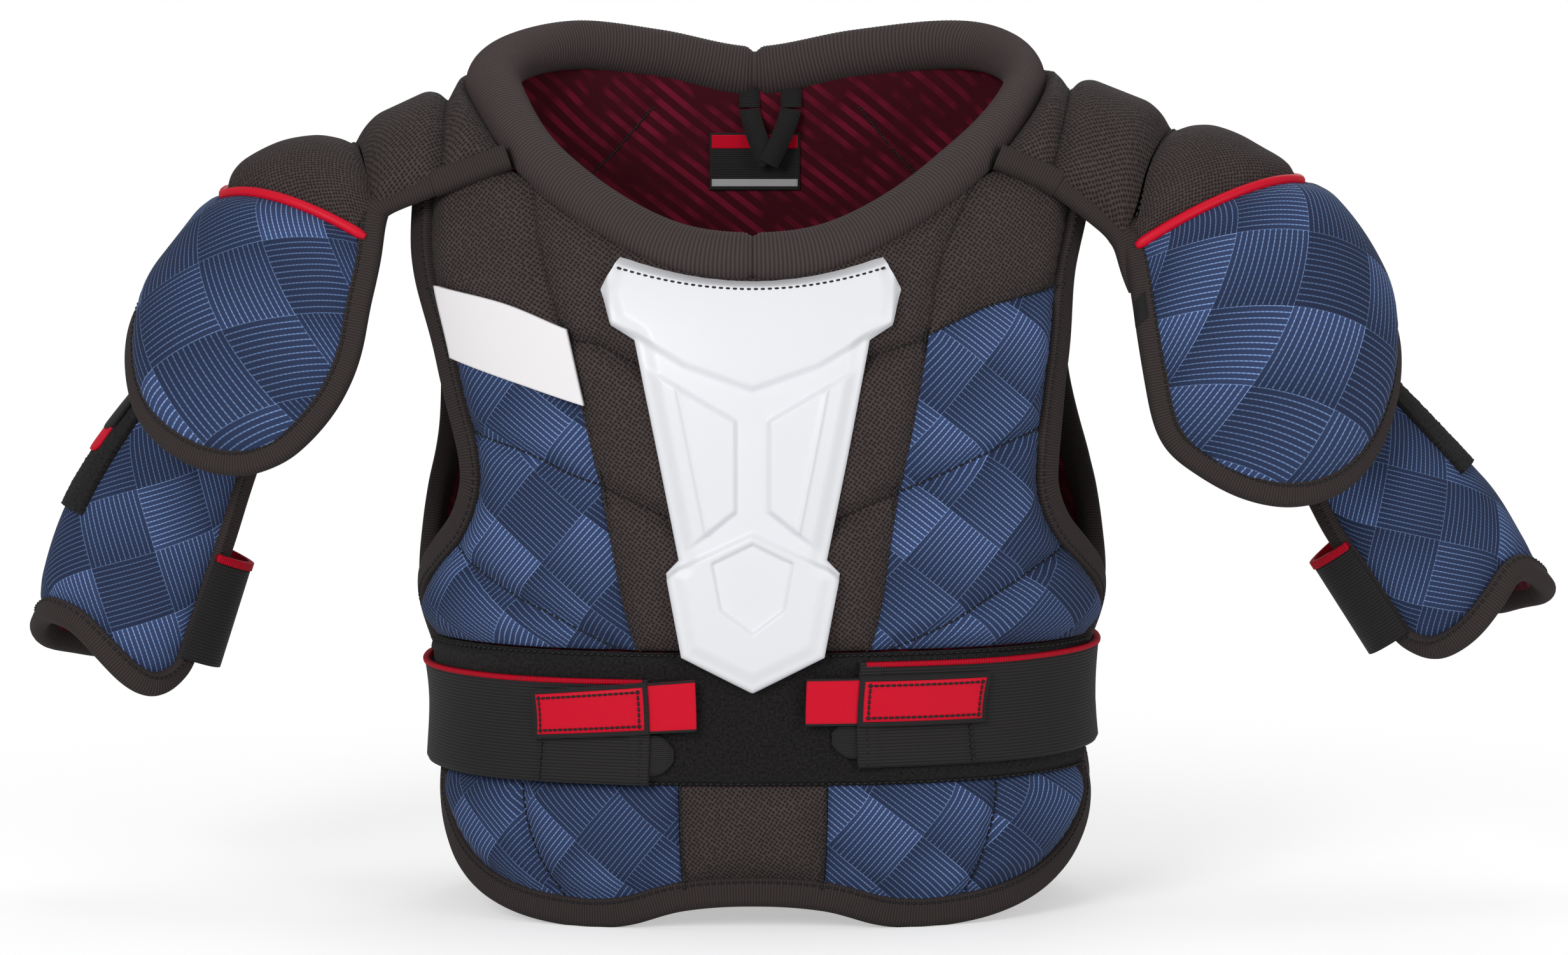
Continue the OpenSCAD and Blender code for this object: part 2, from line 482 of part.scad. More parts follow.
module cap_piping(k) {
    cs = [for (i = [-9 : 9]) i / 9 * 0.9];
    rope([for (s = cs) cap_at(s, pipe_line(s), cap_d2 + piping_r + 0.6, k)],
        [for (s = cs) cap_at(s, pipe_line(s), cap_d2 + 4, k) - cap_at(s, pipe_line(s), cap_d2, k)],
        piping_r, piping_r, 6);
}
module cap_binding(k) {
    ts = [for (i = [0 : 7]) mix(0.12, 1, i / 8)];
    line = concat([for (t = ts) [-1, t * rim(-1)]], [for (i = [0 : 20]) let (s = i / 10 - 1) [s, rim(s)]],
        [for (i = [7 : -1 : 0]) [1, ts[i] * rim(1)]]);
    rope([for (q = line) cap_at(q[0], q[1], 5, k)],
        [for (q = line) cap_at(q[0], q[1], 6, k) - cap_at(q[0], q[1], 5, k)],
        cap_binding_r + 1, cap_binding_r, 8);
}
module left_cap_top() color(mesh_black) cap_top(left_arm);
module right_cap_top() color(mesh_black) mirrored() cap_top(right_arm);
module left_cap_flap() color(print_blue) cap_flap(left_arm);
module right_cap_flap() color(print_blue) mirrored() cap_flap(right_arm);
module left_cap_piping() color(bright_red) cap_piping(left_arm);
module right_cap_piping() color(bright_red) mirrored() cap_piping(right_arm);
module left_cap_binding() color(mesh_black) cap_binding(left_arm);
module right_cap_binding() color(mesh_black) mirrored() cap_binding(right_arm);
module left_cap_insert() color(plastic_white) cap_sheet(left_arm, cap_d1, cap_d1 + insert_t, 0.5, 0.9);
module right_cap_insert() color(plastic_white)
    mirrored() cap_sheet(right_arm, cap_d1, cap_d1 + insert_t, 0.5, 0.9);
module left_cap_lining() color(lining_red) cap_sheet(left_arm, 0, cap_lining_t, cap_start, 1);
module right_cap_lining() color(lining_red) mirrored() cap_sheet(right_arm, 0, cap_lining_t, cap_start, 1);
// small plain tag sewn to the inner edge of the left cap
module left_cap_tag() {
    p = cap_at(-1, 1.75, 5, left_arm);
    q = cap_at(-1, 2.0, 5, left_arm);
    t = unit(q - p);
    o = unit([-1, -0.15, 0] - t * ([-1, -0.15, 0] * t));
    n = cross(o, t);
    function at(u, v, w) = p + o * (cap_binding_r + gap + 0.3 + u * 5) + t * v * 12 + n * (w * 1.6 - 0.8);
    function face(w) = [for (v = [0, 1]) [for (u = [0, 1]) at(u, v, w)]];
    color(strap_black) slab(face(1), face(0));
}

// Bridge pad between the yoke and the cap: it flexes when the cap lifts
module bridge(k) {
    ss = steps(1);
    cs = [-1, -0.86, -0.6, -0.3, 0, 0.3, 0.6, 0.86, 1];
    function ref(s, v) = mix(cap_at(s, 0, 0, k) - [gap, 0, 0], arch(s) + [gap, 0, 0], v);
    function crown(s, v) = seam_t + 1 + (yoke_t - seam_t) * lobe(v) * sqrt(lobe((s + 1) / 2));
    slab([for (v = ss) [for (s = cs) ref(s, v) + arch_n(s) * crown(s, v)]],
        [for (v = ss) [for (s = cs) ref(s, v)]]);
}
module left_bridge() color(mesh_black) bridge(left_arm);
module right_bridge() color(mesh_black) mirrored() bridge(right_arm);

// Bicep wrap: degrees round the arm from its facing side, share of the length, distance from the outside
wrap_half = 118;
function arm_axis(k) = [sin(k[8]) * cos(k[9]), -sin(k[9]), -cos(k[8]) * cos(k[9])];
function arm_face(k) = let (x = arm_axis(k), f = [0.77, -0.64, 0]) unit(f - x * (f * x));
function wrap_end(a) = 1 + 0.09 * exp(-pow((a - 48) / 34, 2)) - 0.04 * exp(-pow((a + 6) / 30, 2));
function bicep_at(a, l, d, k) = let (x = arm_axis(k), f = arm_face(k), b = cross(x, f),
    r = mix(bicep_top_r, bicep_foot_r, l) + d)
    [k[5], k[6], k[7]] + x * l * bicep_len + f * r * cos(a) + b * r * sin(a);
bicep_cols = [-1, -0.92, -0.7, -0.45, -0.2, 0.05, 0.3, 0.5, 0.7, 0.92, 1];
wrap_in = (cap_binding_r + gap) / 0.58;
module bicep_pad(k) {
    vs = [0, 0.1, 0.3, 0.5, 0.7, 0.9, 1];
    function a(c) = c * (wrap_half - wrap_in);
    function l(c, v) = mix(0.035, wrap_end(a(c)) - 0.05, v);
    function crown(c, v) = 4 * lobe(v) * sqrt(lobe((c + 1) / 2)) - 4;
    slab([for (v = vs) [for (c = bicep_cols) bicep_at(a(c), l(c, v), crown(c, v), k)]],
        [for (v = vs) [for (c = bicep_cols) bicep_at(a(c), l(c, v), -bicep_pad_t, k)]]);
}
module bicep_binding(k) {
    side = [for (i = [0 : 6]) mix(0.02, 1, i / 7)];
    line = concat([for (v = side) [-wrap_half, v * wrap_end(-wrap_half)]],
        [for (i = [0 : 18]) let (a = mix(-wrap_half, wrap_half, i / 18)) [a, wrap_end(a)]],
        [for (i = [6 : -1 : 0]) [wrap_half, side[i] * wrap_end(wrap_half)]]);
    rope([for (q = line) bicep_at(q[0], q[1], -5, k)],
        [for (q = line) bicep_at(q[0], q[1], 0, k) - bicep_at(q[0], q[1], -5, k)],
        cap_binding_r, cap_binding_r, 6);
}
module bicep_patch(k) {
    slab([for (l = [0.18, 0.32, 0.46]) [for (a = [-62, -44]) bicep_at(a, l, gap + 1.4, k)]],
        [for (l = [0.18, 0.32, 0.46]) [for (a = [-62, -44]) bicep_at(a, l, gap, k)]]);
}
module bicep_strap(k) {
    l1 = 0.62 + bicep_strap_w / bicep_len;
    as = [for (i = [0 : 9]) mix(wrap_half - 14, 360 - 78, i / 9)];
    slab([for (l = [0.62, l1]) [for (a = as) bicep_at(a, l, gap + 2.2, k)]],
        [for (l = [0.62, l1]) [for (a = as) bicep_at(a, l, gap, k)]]);
}
// elastic strip that hangs the wrap from the cap's lining
hang_s = [-0.32, -0.1, 0.12];
hang_a = [20, 0, -20];
hang_at = 2.9;
hang_t = 2;
hang_d = gap + 3 * sag;
module bicep_hanger(k) {
    function side(d, e) = concat([for (l = [0.2, 0.03]) [for (a = hang_a) bicep_at(a, l, d, k)]],
        [[for (s = hang_s) cap_at(s, hang_at, e, k)]]);
    slab(side(gap + hang_t, -hang_d), side(gap, -hang_d - hang_t));
}
module left_bicep_hanger() color(strap_black) bicep_hanger(left_arm);
module right_bicep_hanger() color(strap_black) mirrored() bicep_hanger(right_arm);
module left_bicep_pad() color(print_blue) bicep_pad(left_arm);
module right_bicep_pad() color(print_blue) mirrored() bicep_pad(right_arm);
module left_bicep_binding() color(mesh_black) bicep_binding(left_arm);
module right_bicep_binding() color(mesh_black) mirrored() bicep_binding(right_arm);
module left_bicep_patch() color(strap_black) bicep_patch(left_arm);
module right_bicep_patch() color(strap_black) mirrored() bicep_patch(right_arm);
module left_bicep_strap() color(strap_black) bicep_strap(left_arm);
module right_bicep_strap() color(strap_black) mirrored() bicep_strap(right_arm);

// Belly straps: sewn to the back's wings, laid forward over the loop band
strap_d = gap + max(band_t, pad_crown) + gap;
strap_tip = 14.2;
strap_root = 102;
module strap(low) let (a = strap_tip, b = strap_root, high = low + strap_w)
    strip([[a, low], [b, low + 3]], [[a, high], [b, high + 3]],
        [[a, low], [a, high]], [[b, low + 3], [b, high + 3]], even(14), even(3), strap_d, strap_d + strap_t);
module hook_tip(low) let (a = strap_tip - 4, b = strap_tip - 0.2)
    strip([[a, low + 3], [b, low + 1]], [[a, low + 20], [b, low + 24]],
        [[a, low + 3], [a, low + 20]], [[b, low + 1], [b, low + 24]],
        [0, 1], [0, 1], strap_d, strap_d + strap_t);
module pull_tab(low) let (z0 = low + strap_w - tab_w - 3, z1 = z0 + tab_w, d = strap_d + strap_t + gap)
    strip([[6.2, z0 - 2], [39.4, z0]], [[6.2, z1 - 2], [39.4, z1]],
        [[6.2, z0 - 2], [6.2, z1 - 2]], [[39.4, z0], [39.4, z1]], even(6), [0, 1], d, d + tab_t);
module left_strap() color(strap_black) strap(left_strap_low);
module right_strap() color(strap_black) mirrored() strap(right_strap_low);
module left_hook_tip() color(mesh_black) hook_tip(left_strap_low);
module right_hook_tip() color(mesh_black) mirrored() hook_tip(right_strap_low);
module left_pull_tab() color(bright_red) pull_tab(left_strap_low);
module right_pull_tab() color(bright_red) mirrored() pull_tab(right_strap_low);

// Hanger: a ribbon folded into a loop under the neck roll
hanger_z = 371;
hanger_y = back_d(hanger_z) - lining_t - seat;
hanger_half = 14;
module hanger_loop() color(strap_black)
    translate([4, hanger_y, hanger_z]) rotate([90, 0, 0]) linear_extrude(1.2) difference() {
        polygon([[-hanger_half, 0], [hanger_half, 0],
            [ribbon_w * 0.7, -hanger_drop], [-ribbon_w * 0.7, -hanger_drop]]);
        polygon([[ribbon_w - hanger_half, -4], [hanger_half - ribbon_w, -4],
            [2, 6 - hanger_drop], [-2, 6 - hanger_drop]]);
    }

back_lining();
back_centre_pad();
back_left_pad();
back_right_pad();
spine_guard();
back_binding();
collar_rear_left();
collar_rear_right();
left_yoke();
right_yoke();
left_yoke_tab();
right_yoke_tab();
left_bridge();
right_bridge();
size_label();
hanger_loop();
front_lining();
chest_pad();
belly_centre_pad();
left_shoulder_pad();
right_shoulder_pad();
left_rib_pad();
right_rib_pad();
left_belly_pad();
right_belly_pad();
loop_band();
sternum_guard();
chest_patch();
front_binding();
collar_front_left();
collar_front_right();
left_strap();
right_strap();
left_hook_tip();
right_hook_tip();
left_pull_tab();
right_pull_tab();
left_cap_top();
right_cap_top();
left_cap_flap();
right_cap_flap();
left_cap_piping();
right_cap_piping();
left_cap_binding();
right_cap_binding();
left_cap_insert();
right_cap_insert();
left_cap_lining();
right_cap_lining();
left_cap_tag();
left_bicep_pad();
right_bicep_pad();
left_bicep_binding();
right_bicep_binding();
left_bicep_patch();
right_bicep_patch();
left_bicep_strap();
right_bicep_strap();
left_bicep_hanger();
right_bicep_hanger();
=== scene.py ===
"""Looks of youth ice hockey shoulder pads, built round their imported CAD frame.

The surfaces repeat the CAD's own sections, in millimetres. Left is the wearer's left, at +X,
and the front faces -Y.
"""

import math
from types import SimpleNamespace

import bpy
import numpy as np
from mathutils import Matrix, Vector


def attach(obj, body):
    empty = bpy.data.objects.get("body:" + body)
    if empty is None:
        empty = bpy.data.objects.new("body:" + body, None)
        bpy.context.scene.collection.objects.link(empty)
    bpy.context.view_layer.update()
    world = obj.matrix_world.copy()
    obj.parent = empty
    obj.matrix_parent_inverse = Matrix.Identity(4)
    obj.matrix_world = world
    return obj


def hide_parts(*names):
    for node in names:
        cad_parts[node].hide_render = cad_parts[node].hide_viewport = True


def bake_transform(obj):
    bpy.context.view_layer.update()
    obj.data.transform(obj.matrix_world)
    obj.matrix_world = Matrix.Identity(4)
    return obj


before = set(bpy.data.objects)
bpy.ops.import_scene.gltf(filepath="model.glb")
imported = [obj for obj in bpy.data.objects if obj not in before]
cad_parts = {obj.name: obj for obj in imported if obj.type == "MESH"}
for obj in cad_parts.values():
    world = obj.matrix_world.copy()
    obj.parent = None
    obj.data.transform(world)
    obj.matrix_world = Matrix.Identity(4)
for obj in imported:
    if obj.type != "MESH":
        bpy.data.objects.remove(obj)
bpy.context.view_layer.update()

bl_info = {
    "name": "Hockey shoulder pads",
    "version": (1, 0, 0),
    "blender": (4, 5, 0),
    "location": "3D View > Sidebar > Pads",
    "description": "Builds the cloth, foam and moulded pieces of a set of shoulder pads",
    "category": "Object",
}

MM = 0.001

# the layers' distances from the surface that they lie on, as in the CAD: the gap under a pad and the
# pad's back, the lining's thickness, the moulded guards (and the height of the sternum guard's tip),
# the belly straps, and the pads of a cap
GAP = 0.35
SEAT = 0.85
LINING_T = 4.0
GUARD_D = 10.2
GUARD_TIP = 111.0
STRAP_D = 9.7
CAP_D = 5.7

# the belly band, and the straps laid over it
BAND = (67.0, 128.0)
STRAP_LOW = {"left": 76.0, "right": 68.0}
STRAP_W = 48.0
STRAP_T = 2.4
# a strap's two ends in degrees round, how far it climbs from one to the other, and where two short
# rows of stitches stand on its lower part
STRAP_FROM = 14.2
STRAP_TO = 102.0
STRAP_CLIMB = {"left": 0.0, "right": -1.5}
STRAP_ROWS = (15.8, 35.3)
# a pull tab's two ends, each as degrees round, lower and upper height
PULL_TAB = {
    "left": ((6.3, 96, 117.5), (38.1, 95.5, 117.5)),
    "right": ((6.8, 93.5, 117), (36.6, 88, 109.5)),
}

# the neck roll's centre line, front centre to back centre, with one point past each end
NECK = [
    [-34.2, -87, 310],
    [0, -92, 306],
    [34.2, -87, 310],
    [68.3, -71, 326],
    [97.6, -48, 348],
    [117.5, -18, 370],
    [125, 10, 385.5],
    [115.5, 38, 396.5],
    [90, 59, 401.5],
    [47.6, 71.5, 397],
    [0, 76, 388.5],
    [-47.6, 71.5, 397],
]

# edges of the panels as [degrees round from the middle, height]: side and hem, front and back
FRONT_SIDE = [
    [78.5, 60], [80, 90], [80, 124], [79.5, 148], [75, 160], [67.5, 170], [58.8, 183], [54.2, 198],
    [53.6, 213], [56, 240], [59, 268], [62.6, 296], [64.6, 310], [66, 322], [67.2, 337],
]
FRONT_HEM = [
    [0, 15], [9.3, 12.5], [17.7, 6], [23.3, 4], [29.7, 4], [40, 6.5], [50, 11.5], [58.5, 18.5], [65.5, 27],
    [71.5, 37.5], [76, 48.5], [78.5, 60],
]
BACK_SIDE = [
    [84, 58], [86, 90], [86, 130], [85.4, 152], [82, 174], [77, 191], [71.5, 206], [67, 222], [63.6, 242],
    [61.6, 264], [60.4, 290], [58.8, 322], [54, 362],
]
BACK_HEM = [[0, 14], [11, 10], [21, 4], [30, 4], [43, 7], [58, 17], [72, 36], [84, 58]]
# edges of the front's lining inside its binding, and the tops of the front's pads
SIDE_IN = [
    [75.2, 63], [76.8, 92], [76.8, 123], [75.8, 145.5], [71.3, 156.5], [63.6, 166.5], [55.2, 180.5],
    [50.8, 197.5], [50.3, 213.5], [52.7, 241], [55.7, 269], [59.3, 297], [62.6, 318], [64, 336],
]
HEM_IN = [
    [0, 20.2], [9.3, 17.7], [18.2, 11.4], [28.5, 9.4], [39, 12], [48.6, 17.2], [56.6, 24.2], [63.2, 33.2],
    [68.8, 44.2], [73, 55], [75.2, 63],
]
CHEST_TOP = [[0, 301], [4.2, 302], [9.8, 306], [16, 313], [22.3, 322], [28.6, 332], [34.3, 340]]
SHOULDER_TOP = [[34.3, 340], [43, 347], [54, 348], [63, 336]]
# edges of the back's lining, and the outer edges of the back's side pads and of the rib pads
BACK_TOP = [
    [0, 383], [6.4, 387], [13.6, 391], [21.3, 394], [28.2, 396], [36, 396], [45, 388], [54, 366],
]
BACK_SIDE_IN = [
    [80.9, 58], [82.9, 90], [82.9, 130], [82.3, 151], [78.7, 172], [73.6, 189], [68.2, 204.5], [63.8, 221],
    [60.5, 242], [58.5, 264], [57.3, 290], [55.7, 322], [50.9, 366],
]
BACK_HEM_IN = [
    [0, 19.7], [10.9, 15.7], [20.7, 9.6], [29.4, 9.3], [42, 11.7], [56.4, 20.6], [69.7, 38.1],
    [80.9, 58],
]
WING_IN = [
    [76, 54], [81.4, 90], [81.6, 130], [80.6, 152], [76.8, 174], [71.4, 192], [65.6, 208], [61.4, 224],
    [58.4, 244], [56.8, 268], [55.6, 296], [53, 322], [47, 364],
]
RIB_SIDE = [
    [76.4, 129], [75.4, 145], [67, 161.5], [56.2, 178], [50.9, 197], [50.4, 214], [52.7, 241], [55.5, 268],
]

# seams of the front, drawn from the photograph: between the chest and the sides, over the printed
# sides, and the quilting
CHEST_SEAM = {
    "left": [[16, 129], [19.6, 195], [22.2, 230], [25.1, 271.6], [27.9, 306], [34.3, 340]],
    "right": [[16, 129], [21.4, 202], [24, 236], [27.1, 269], [30.6, 303], [34.3, 340]],
}
PRINT_TOP = {
    "left": [[25.1, 271.6], [34.5, 281.5], [43.1, 286.5], [58.6, 292.5]],
    "right": [[27.1, 269], [38, 279], [58.4, 290]],
}
CHEST_QUILT = {
    "left": [[[12.2, 259], [19.2, 265.5], [25, 269.5]], [[8, 185], [14.1, 194], [19.6, 200.5]]],
    "right": [
        [[12.2, 256], [16.1, 260.3], [21.1, 267.2], [26.8, 269]],
        [[8, 186], [14.1, 194.3], [21.4, 203.6]],
    ],
}
RIB_QUILT = {
    "left": [
        [[19.6, 200.3], [26.3, 207.5], [35.4, 216.6], [42.3, 222.9], [51, 228]],
        [[20, 129.6], [30.2, 141.6], [36.6, 150.8], [43.7, 159.1], [52.1, 167.8], [62, 174]],
    ],
    "right": [
        [[21.4, 203.6], [27.2, 208.8], [33.2, 215.4], [39.9, 220.4], [51.5, 227]],
        [[19.4, 129.4], [31.2, 144.3], [37.7, 150.7], [45.1, 158.9], [56.4, 171.4], [62, 175]],
    ],
}
BELLY_QUILT = {
    "left": [[42.4, 67], [38.2, 36], [34.2, 11]],
    "right": [[42, 67], [37.4, 36], [30, 10]],
}
# one of the two seams of the back's lining, counted from the back centre
LINING_SEAM = [[14, 371], [20, 351], [26, 333], [33, 290]]

# the arms as posed. A cap has its root, its yaw and its lift, and a bulge of its crown round one
# place. A wrap has the top of its axis, its lean and forward tilt, and how far it is pushed out at
# its outer middle, at its inner top and inner foot, and drawn in at its outer foot
ARM = {
    "left": SimpleNamespace(
        cap=(188, -4, 346), yaw=13, lift=0, bulge=1.2, bulge_at=3.4,
        wrap=(252, -6, 250), lean=38, tilt=3, outer=1, inner_top=3, inner_foot=7, outer_foot=8,
    ),
    "right": SimpleNamespace(
        cap=(182, -4, 346), yaw=17, lift=2, bulge=-10.8, bulge_at=2.6,
        wrap=(244, -8, 247), lean=23, tilt=3, outer=11, inner_top=0, inner_foot=1, outer_foot=0,
    ),
}
# a cap from its root outwards: its crown line and its lower edge in x and z, and its half width
CAP_LINE = [[0, 0], [34, -2], [66, -17], [91, -48], [107, -92], [111, -146], [111, -200]]
CAP_EDGE = [[-12, -26], [-3, -46], [5, -70], [13, -97], [20, -122], [32, -150], [42, -182]]
CAP_W = [[44], [52], [60], [66], [70], [70], [70]]
# the rim of a cap: its place along the crown line by the turn from front to back
CAP_RIM = {
    "left": [
        [-0.93, 4.66], [-0.85, 4.9], [-0.73, 5.04], [-0.6, 5.04], [-0.45, 4.92], [-0.3, 4.68], [-0.15, 4.3],
        [0, 3.88], [0.25, 3.4], [0.5, 3.1], [0.75, 2.9], [1, 2.7],
    ],
    "right": [
        [-0.83, 4.52], [-0.73, 4.74], [-0.6, 4.77], [-0.44, 4.67], [-0.28, 4.47], [-0.17, 4.2], [0, 3.75],
        [0.25, 3.35], [0.5, 3.1], [0.75, 2.9], [1, 2.7],
    ],
}
# front edge of a cap by the place along its crown line, and the crease at its root by the turn
CAP_FRONT = {
    "left": [
        [0, -0.87], [0.68, -0.942], [1.1, -0.962], [1.5, -0.98], [2.45, -1.005], [3.5, -1.015], [4.2, -1.0],
        [4.66, -0.93],
    ],
    "right": [
        [0, -0.65], [0.5, -0.75], [1.1, -0.86], [1.6, -0.9], [2, -0.915], [2.6, -0.938], [3.1, -0.938],
        [3.7, -0.915], [4.2, -0.875], [4.52, -0.83],
    ],
}
CAP_CREASE = {
    "left": [[-1, 0.7], [-0.87, 0.55], [-0.55, 0.14], [0, 0.05], [1, 0.04]],
    "right": [[-1, 0.62], [-0.72, 0.5], [-0.5, 0.28], [0, 0.04], [1, 0.04]],
}
# where the piping crosses a cap's crown, and how far the root of the cap is puffed up
PIPE_TOP = {"left": 1.85, "right": 2.0}
PIPE_END = {"left": 0.76, "right": 0.86}
CAP_PUFF = {"left": 8.5, "right": 1.5}
# crease between yoke and bridge: x at the top, how far it runs in at the front, and its drop
YOKE_CREASE = {"left": (149, 12, 0), "right": (144, 1, 5)}
CAP_TURN = 85.0
# a wrap's length, the width of its strap, its two upright edges, and its hem by the degrees round the arm
BICEP_LEN = 138.0
ARM_STRAP_W = 48.0
WRAP_BACK = -118.0
WRAP_FRONT = 104.0
WRAP_END = {
    "left": [
        [-118, 1.1], [-95, 1.13], [-70, 1.155], [-40, 1.12], [-20, 1.06], [-4, 1.015], [14, 1], [38, 1.03],
        [62, 1.06], [80, 1.06], [92, 1.035], [104, 0.95],
    ],
    "right": [
        [-118, 1.06], [-95, 1.08], [-70, 1.09], [-40, 1.04], [-16, 0.985], [12, 0.968], [28, 0.985],
        [47, 1.025], [66, 1.065], [82, 1.075], [93, 1.045], [104, 0.97],
    ],
}
SIGN = {"left": 1, "right": -1}

# the photograph's camera: what it looks at and how far from it in metres, degrees above the level,
# and its lens in mm
CAMERA_TARGET = (0.0142, 0, 0.198)
CAMERA_FAR = 2.4
CAMERA_RISE = 5.0
CAMERA_LENS = 116.6


def linear(colour):
    """A written sRGB colour as the linear values that Blender mixes."""
    parts = [int(colour[i : i + 2], 16) / 255 for i in (1, 3, 5)]
    return [v / 12.92 if v <= 0.04045 else ((v + 0.055) / 1.055) ** 2.4 for v in parts]


def length(label, words, value):
    """A size property in metres."""
    return bpy.props.FloatProperty(
        name=label, description=words, default=value, min=0, precision=5, unit="LENGTH", subtype="DISTANCE"
    )


def colour(label, words, value):
    """A colour property from a written sRGB colour."""
    return bpy.props.FloatVectorProperty(
        name=label, description=words, default=linear(value), min=0, max=1, size=3, subtype="COLOR"
    )


class PadsSizes(bpy.types.PropertyGroup):
    """Sizes of the soft forms and of their patterns."""

    crown: length("Pad crown", "Height of a pad over the lining at its crown", 0.0092)
    seam: length("Seam height", "Height of a pad at a quilting seam", 0.0037)
    seam_reach: length("Seam reach", "Distance from a quilting seam to a pad's full height", 0.011)
    edge: length("Edge height", "Height of a pad at its own edge", 0.004)
    bound: length("Bound height", "Height of a pad under the edge tape", 0.0026)
    tape_leg: length("Tape leg", "Width of the edge tape on a panel's face", 0.0094)
    reach: length("Puff reach", "Distance from a seam to a pad's full height", 0.015)
    gather: length("Gathers", "Depth of the gathers that stitches draw in", 0.0003)
    gather_pitch: length("Gather pitch", "Distance from one gather to the next", 0.0075)
    stitch: length("Stitch pitch", "Distance from one stitch to the next", 0.0031)
    thread: length("Thread radius", "Radius of the sewing thread", 0.0006)
    roll: length("Roll radius", "Radius of the neck roll", 0.011)
    rib: length("Rib pitch", "Distance between the ribs of the neck roll's knit", 0.0018)
    rib_depth: length("Rib depth", "Depth of the ribs of the neck roll's knit", 0.00028)
    tape: length("Binding radius", "Half thickness of the edge binding", 0.0045)
    weave: length("Mesh pitch", "Distance between the cells of the mesh cloth", 0.0017)
    square: length("Print square", "Side of a square of the printed pattern", 0.03)
    line: length("Print line", "Distance between the fine lines of the print", 0.0023)
    stripe: length("Lining stripe", "Distance between the stripes of the lining", 0.0065)


class PadsColours(bpy.types.PropertyGroup):
    """Colours of the materials."""

    mesh: colour("Mesh", "Raised threads of the mesh cloth", "#4a4140")
    # colour of the pits: the dark foam below, darkened further as painted shade in the open cells
    shaded_pit: colour("Mesh pits", "Open cells of the mesh cloth", "#1d1817")
    binding: colour("Binding", "Edge tape", "#443c3b")
    knit: colour("Knit", "Ribbed cover of the neck roll", "#534747")
    print_base: colour("Print base", "Dark ground of the print", "#222b43")
    print_mid: colour("Print middle", "Light ground of the print", "#3c4b72")
    print_line: colour("Print line", "Fine lines of the print", "#9cc0fb")
    lining: colour("Lining", "Dark ground of the lining", "#430a18")
    lining_line: colour("Lining line", "Stripes of the lining", "#7c1630")
    red: colour("Red", "Piping, pull tabs and woven edges", "#d50b2b")
    white: colour("White plastic", "Sternum guard", "#edeef2")
    film: colour("White film", "Bare chest patch", "#f1eef0")
    elastic: colour("Elastic", "Woven straps", "#323030")
    loop: colour("Loop", "Brushed loop pile", "#211f1f")
    thread: colour("Thread", "Sewing thread", "#151313")
    grey: colour("Grey", "Woven strip of the size label", "#b9b9bb")


def along(points, t):
    """Smooth curve through points, t counted in points."""
    points = np.asarray(points, float)
    t = np.asarray(t, float)
    last = len(points) - 1
    i = np.clip(np.floor(t).astype(int), 0, last - 1)
    f = (t - i)[..., None]
    b = points[i]
    c = points[i + 1]
    a = np.where((i > 0)[..., None], points[np.maximum(i - 1, 0)], 2 * b - c)
    d = np.where((i + 2 <= last)[..., None], points[np.minimum(i + 2, last)], 2 * c - b)
    return (2 * b + (c - a) * f + (2 * a - 5 * b + 4 * c - d) * f**2 + (3 * b - a - 3 * c + d) * f**3) / 2


def share(points, f):
    """Smooth curve through points, f from 0 to 1."""
    return along(points, np.asarray(f) * (len(points) - 1))


def unit(v):
    """Vectors of length 1."""
    return v / np.linalg.norm(v, axis=-1, keepdims=True)


def spow(v, p):
    """A power that keeps the sign."""
    return np.sign(v) * np.abs(v) ** p


def ease(v):
    """Smooth step from 0 to 1."""
    v = np.clip(v, 0, 1)
    return v * v * (3 - 2 * v)


def lobe(f):
    """Height of a stuffed lobe: 0 at its two seams, 1 over the middle."""
    return (1 - np.abs(2 * np.asarray(f, float) - 1) ** 4) ** 0.6


def torso(a, z, d=0.0):
    """The torso's surface: degrees round from the front, height, distance outwards."""
    a, z, d = np.broadcast_arrays(np.radians(a), np.asarray(z, float), np.asarray(d, float))
    # half width with the waist drawn in, then the depths of the chest and the shoulder blades
    low = 149 + 9 * np.sin(np.pi / 2 * np.clip(z, 0, 150) / 150)
    w = np.where(z < 150, low, 158 + 6 * ease((z - 150) / 180))
    w = w - 11.5 * np.exp(-(((z - 98) / 36) ** 2)) + 2.5 * np.exp(-(((z - 148) / 22) ** 2))
    chest = np.where(z < 190, 100 + 8 * np.sin(np.pi / 2 * z / 190), 108 - 40 * ((z - 190) / 140) ** 3)
    blade = np.where(z < 220, 92 + 6 * np.sin(np.pi / 2 * z / 220), 98 - 28 * ((z - 220) / 170) ** 2)
    f = np.where(np.cos(a) >= 0, chest, blade)
    x = w * spow(np.sin(a), 2 / 2.4)
    y = -f * spow(np.cos(a), 2 / 2.4)
    nx = spow(x / w, 1.4) / w
    ny = spow(y / f, 1.4) / f
    size = np.hypot(nx, ny)
    return np.stack([x + d * nx / size, y + d * ny / size, z], -1)


def arc(a):
    """Distance round the torso at a number of degrees, for the cloth's own coordinates."""
    table = np.linspace(-180, 400, 1161)
    steps = np.linalg.norm(np.diff(torso(table, 200), axis=0), axis=1)
    return np.interp(a, table, np.concatenate([[0], np.cumsum(steps)]))


def patch(foot, head, start, end, u, v):
    """Degrees and heights between four edges, at shares u across and v up."""
    foot, head, start, end = (np.asarray(k, float) for k in (foot, head, start, end))
    u, v = np.meshgrid(u, v)
    p = u[..., None]
    q = v[..., None]
    sides = (1 - q) * share(foot, u) + q * share(head, u) + (1 - p) * share(start, v) + p * share(end, v)
    low = (1 - p) * (1 - q) * foot[0] + p * (1 - q) * foot[-1]
    high = (1 - p) * q * head[0] + p * q * head[-1]
    return sides - low - high


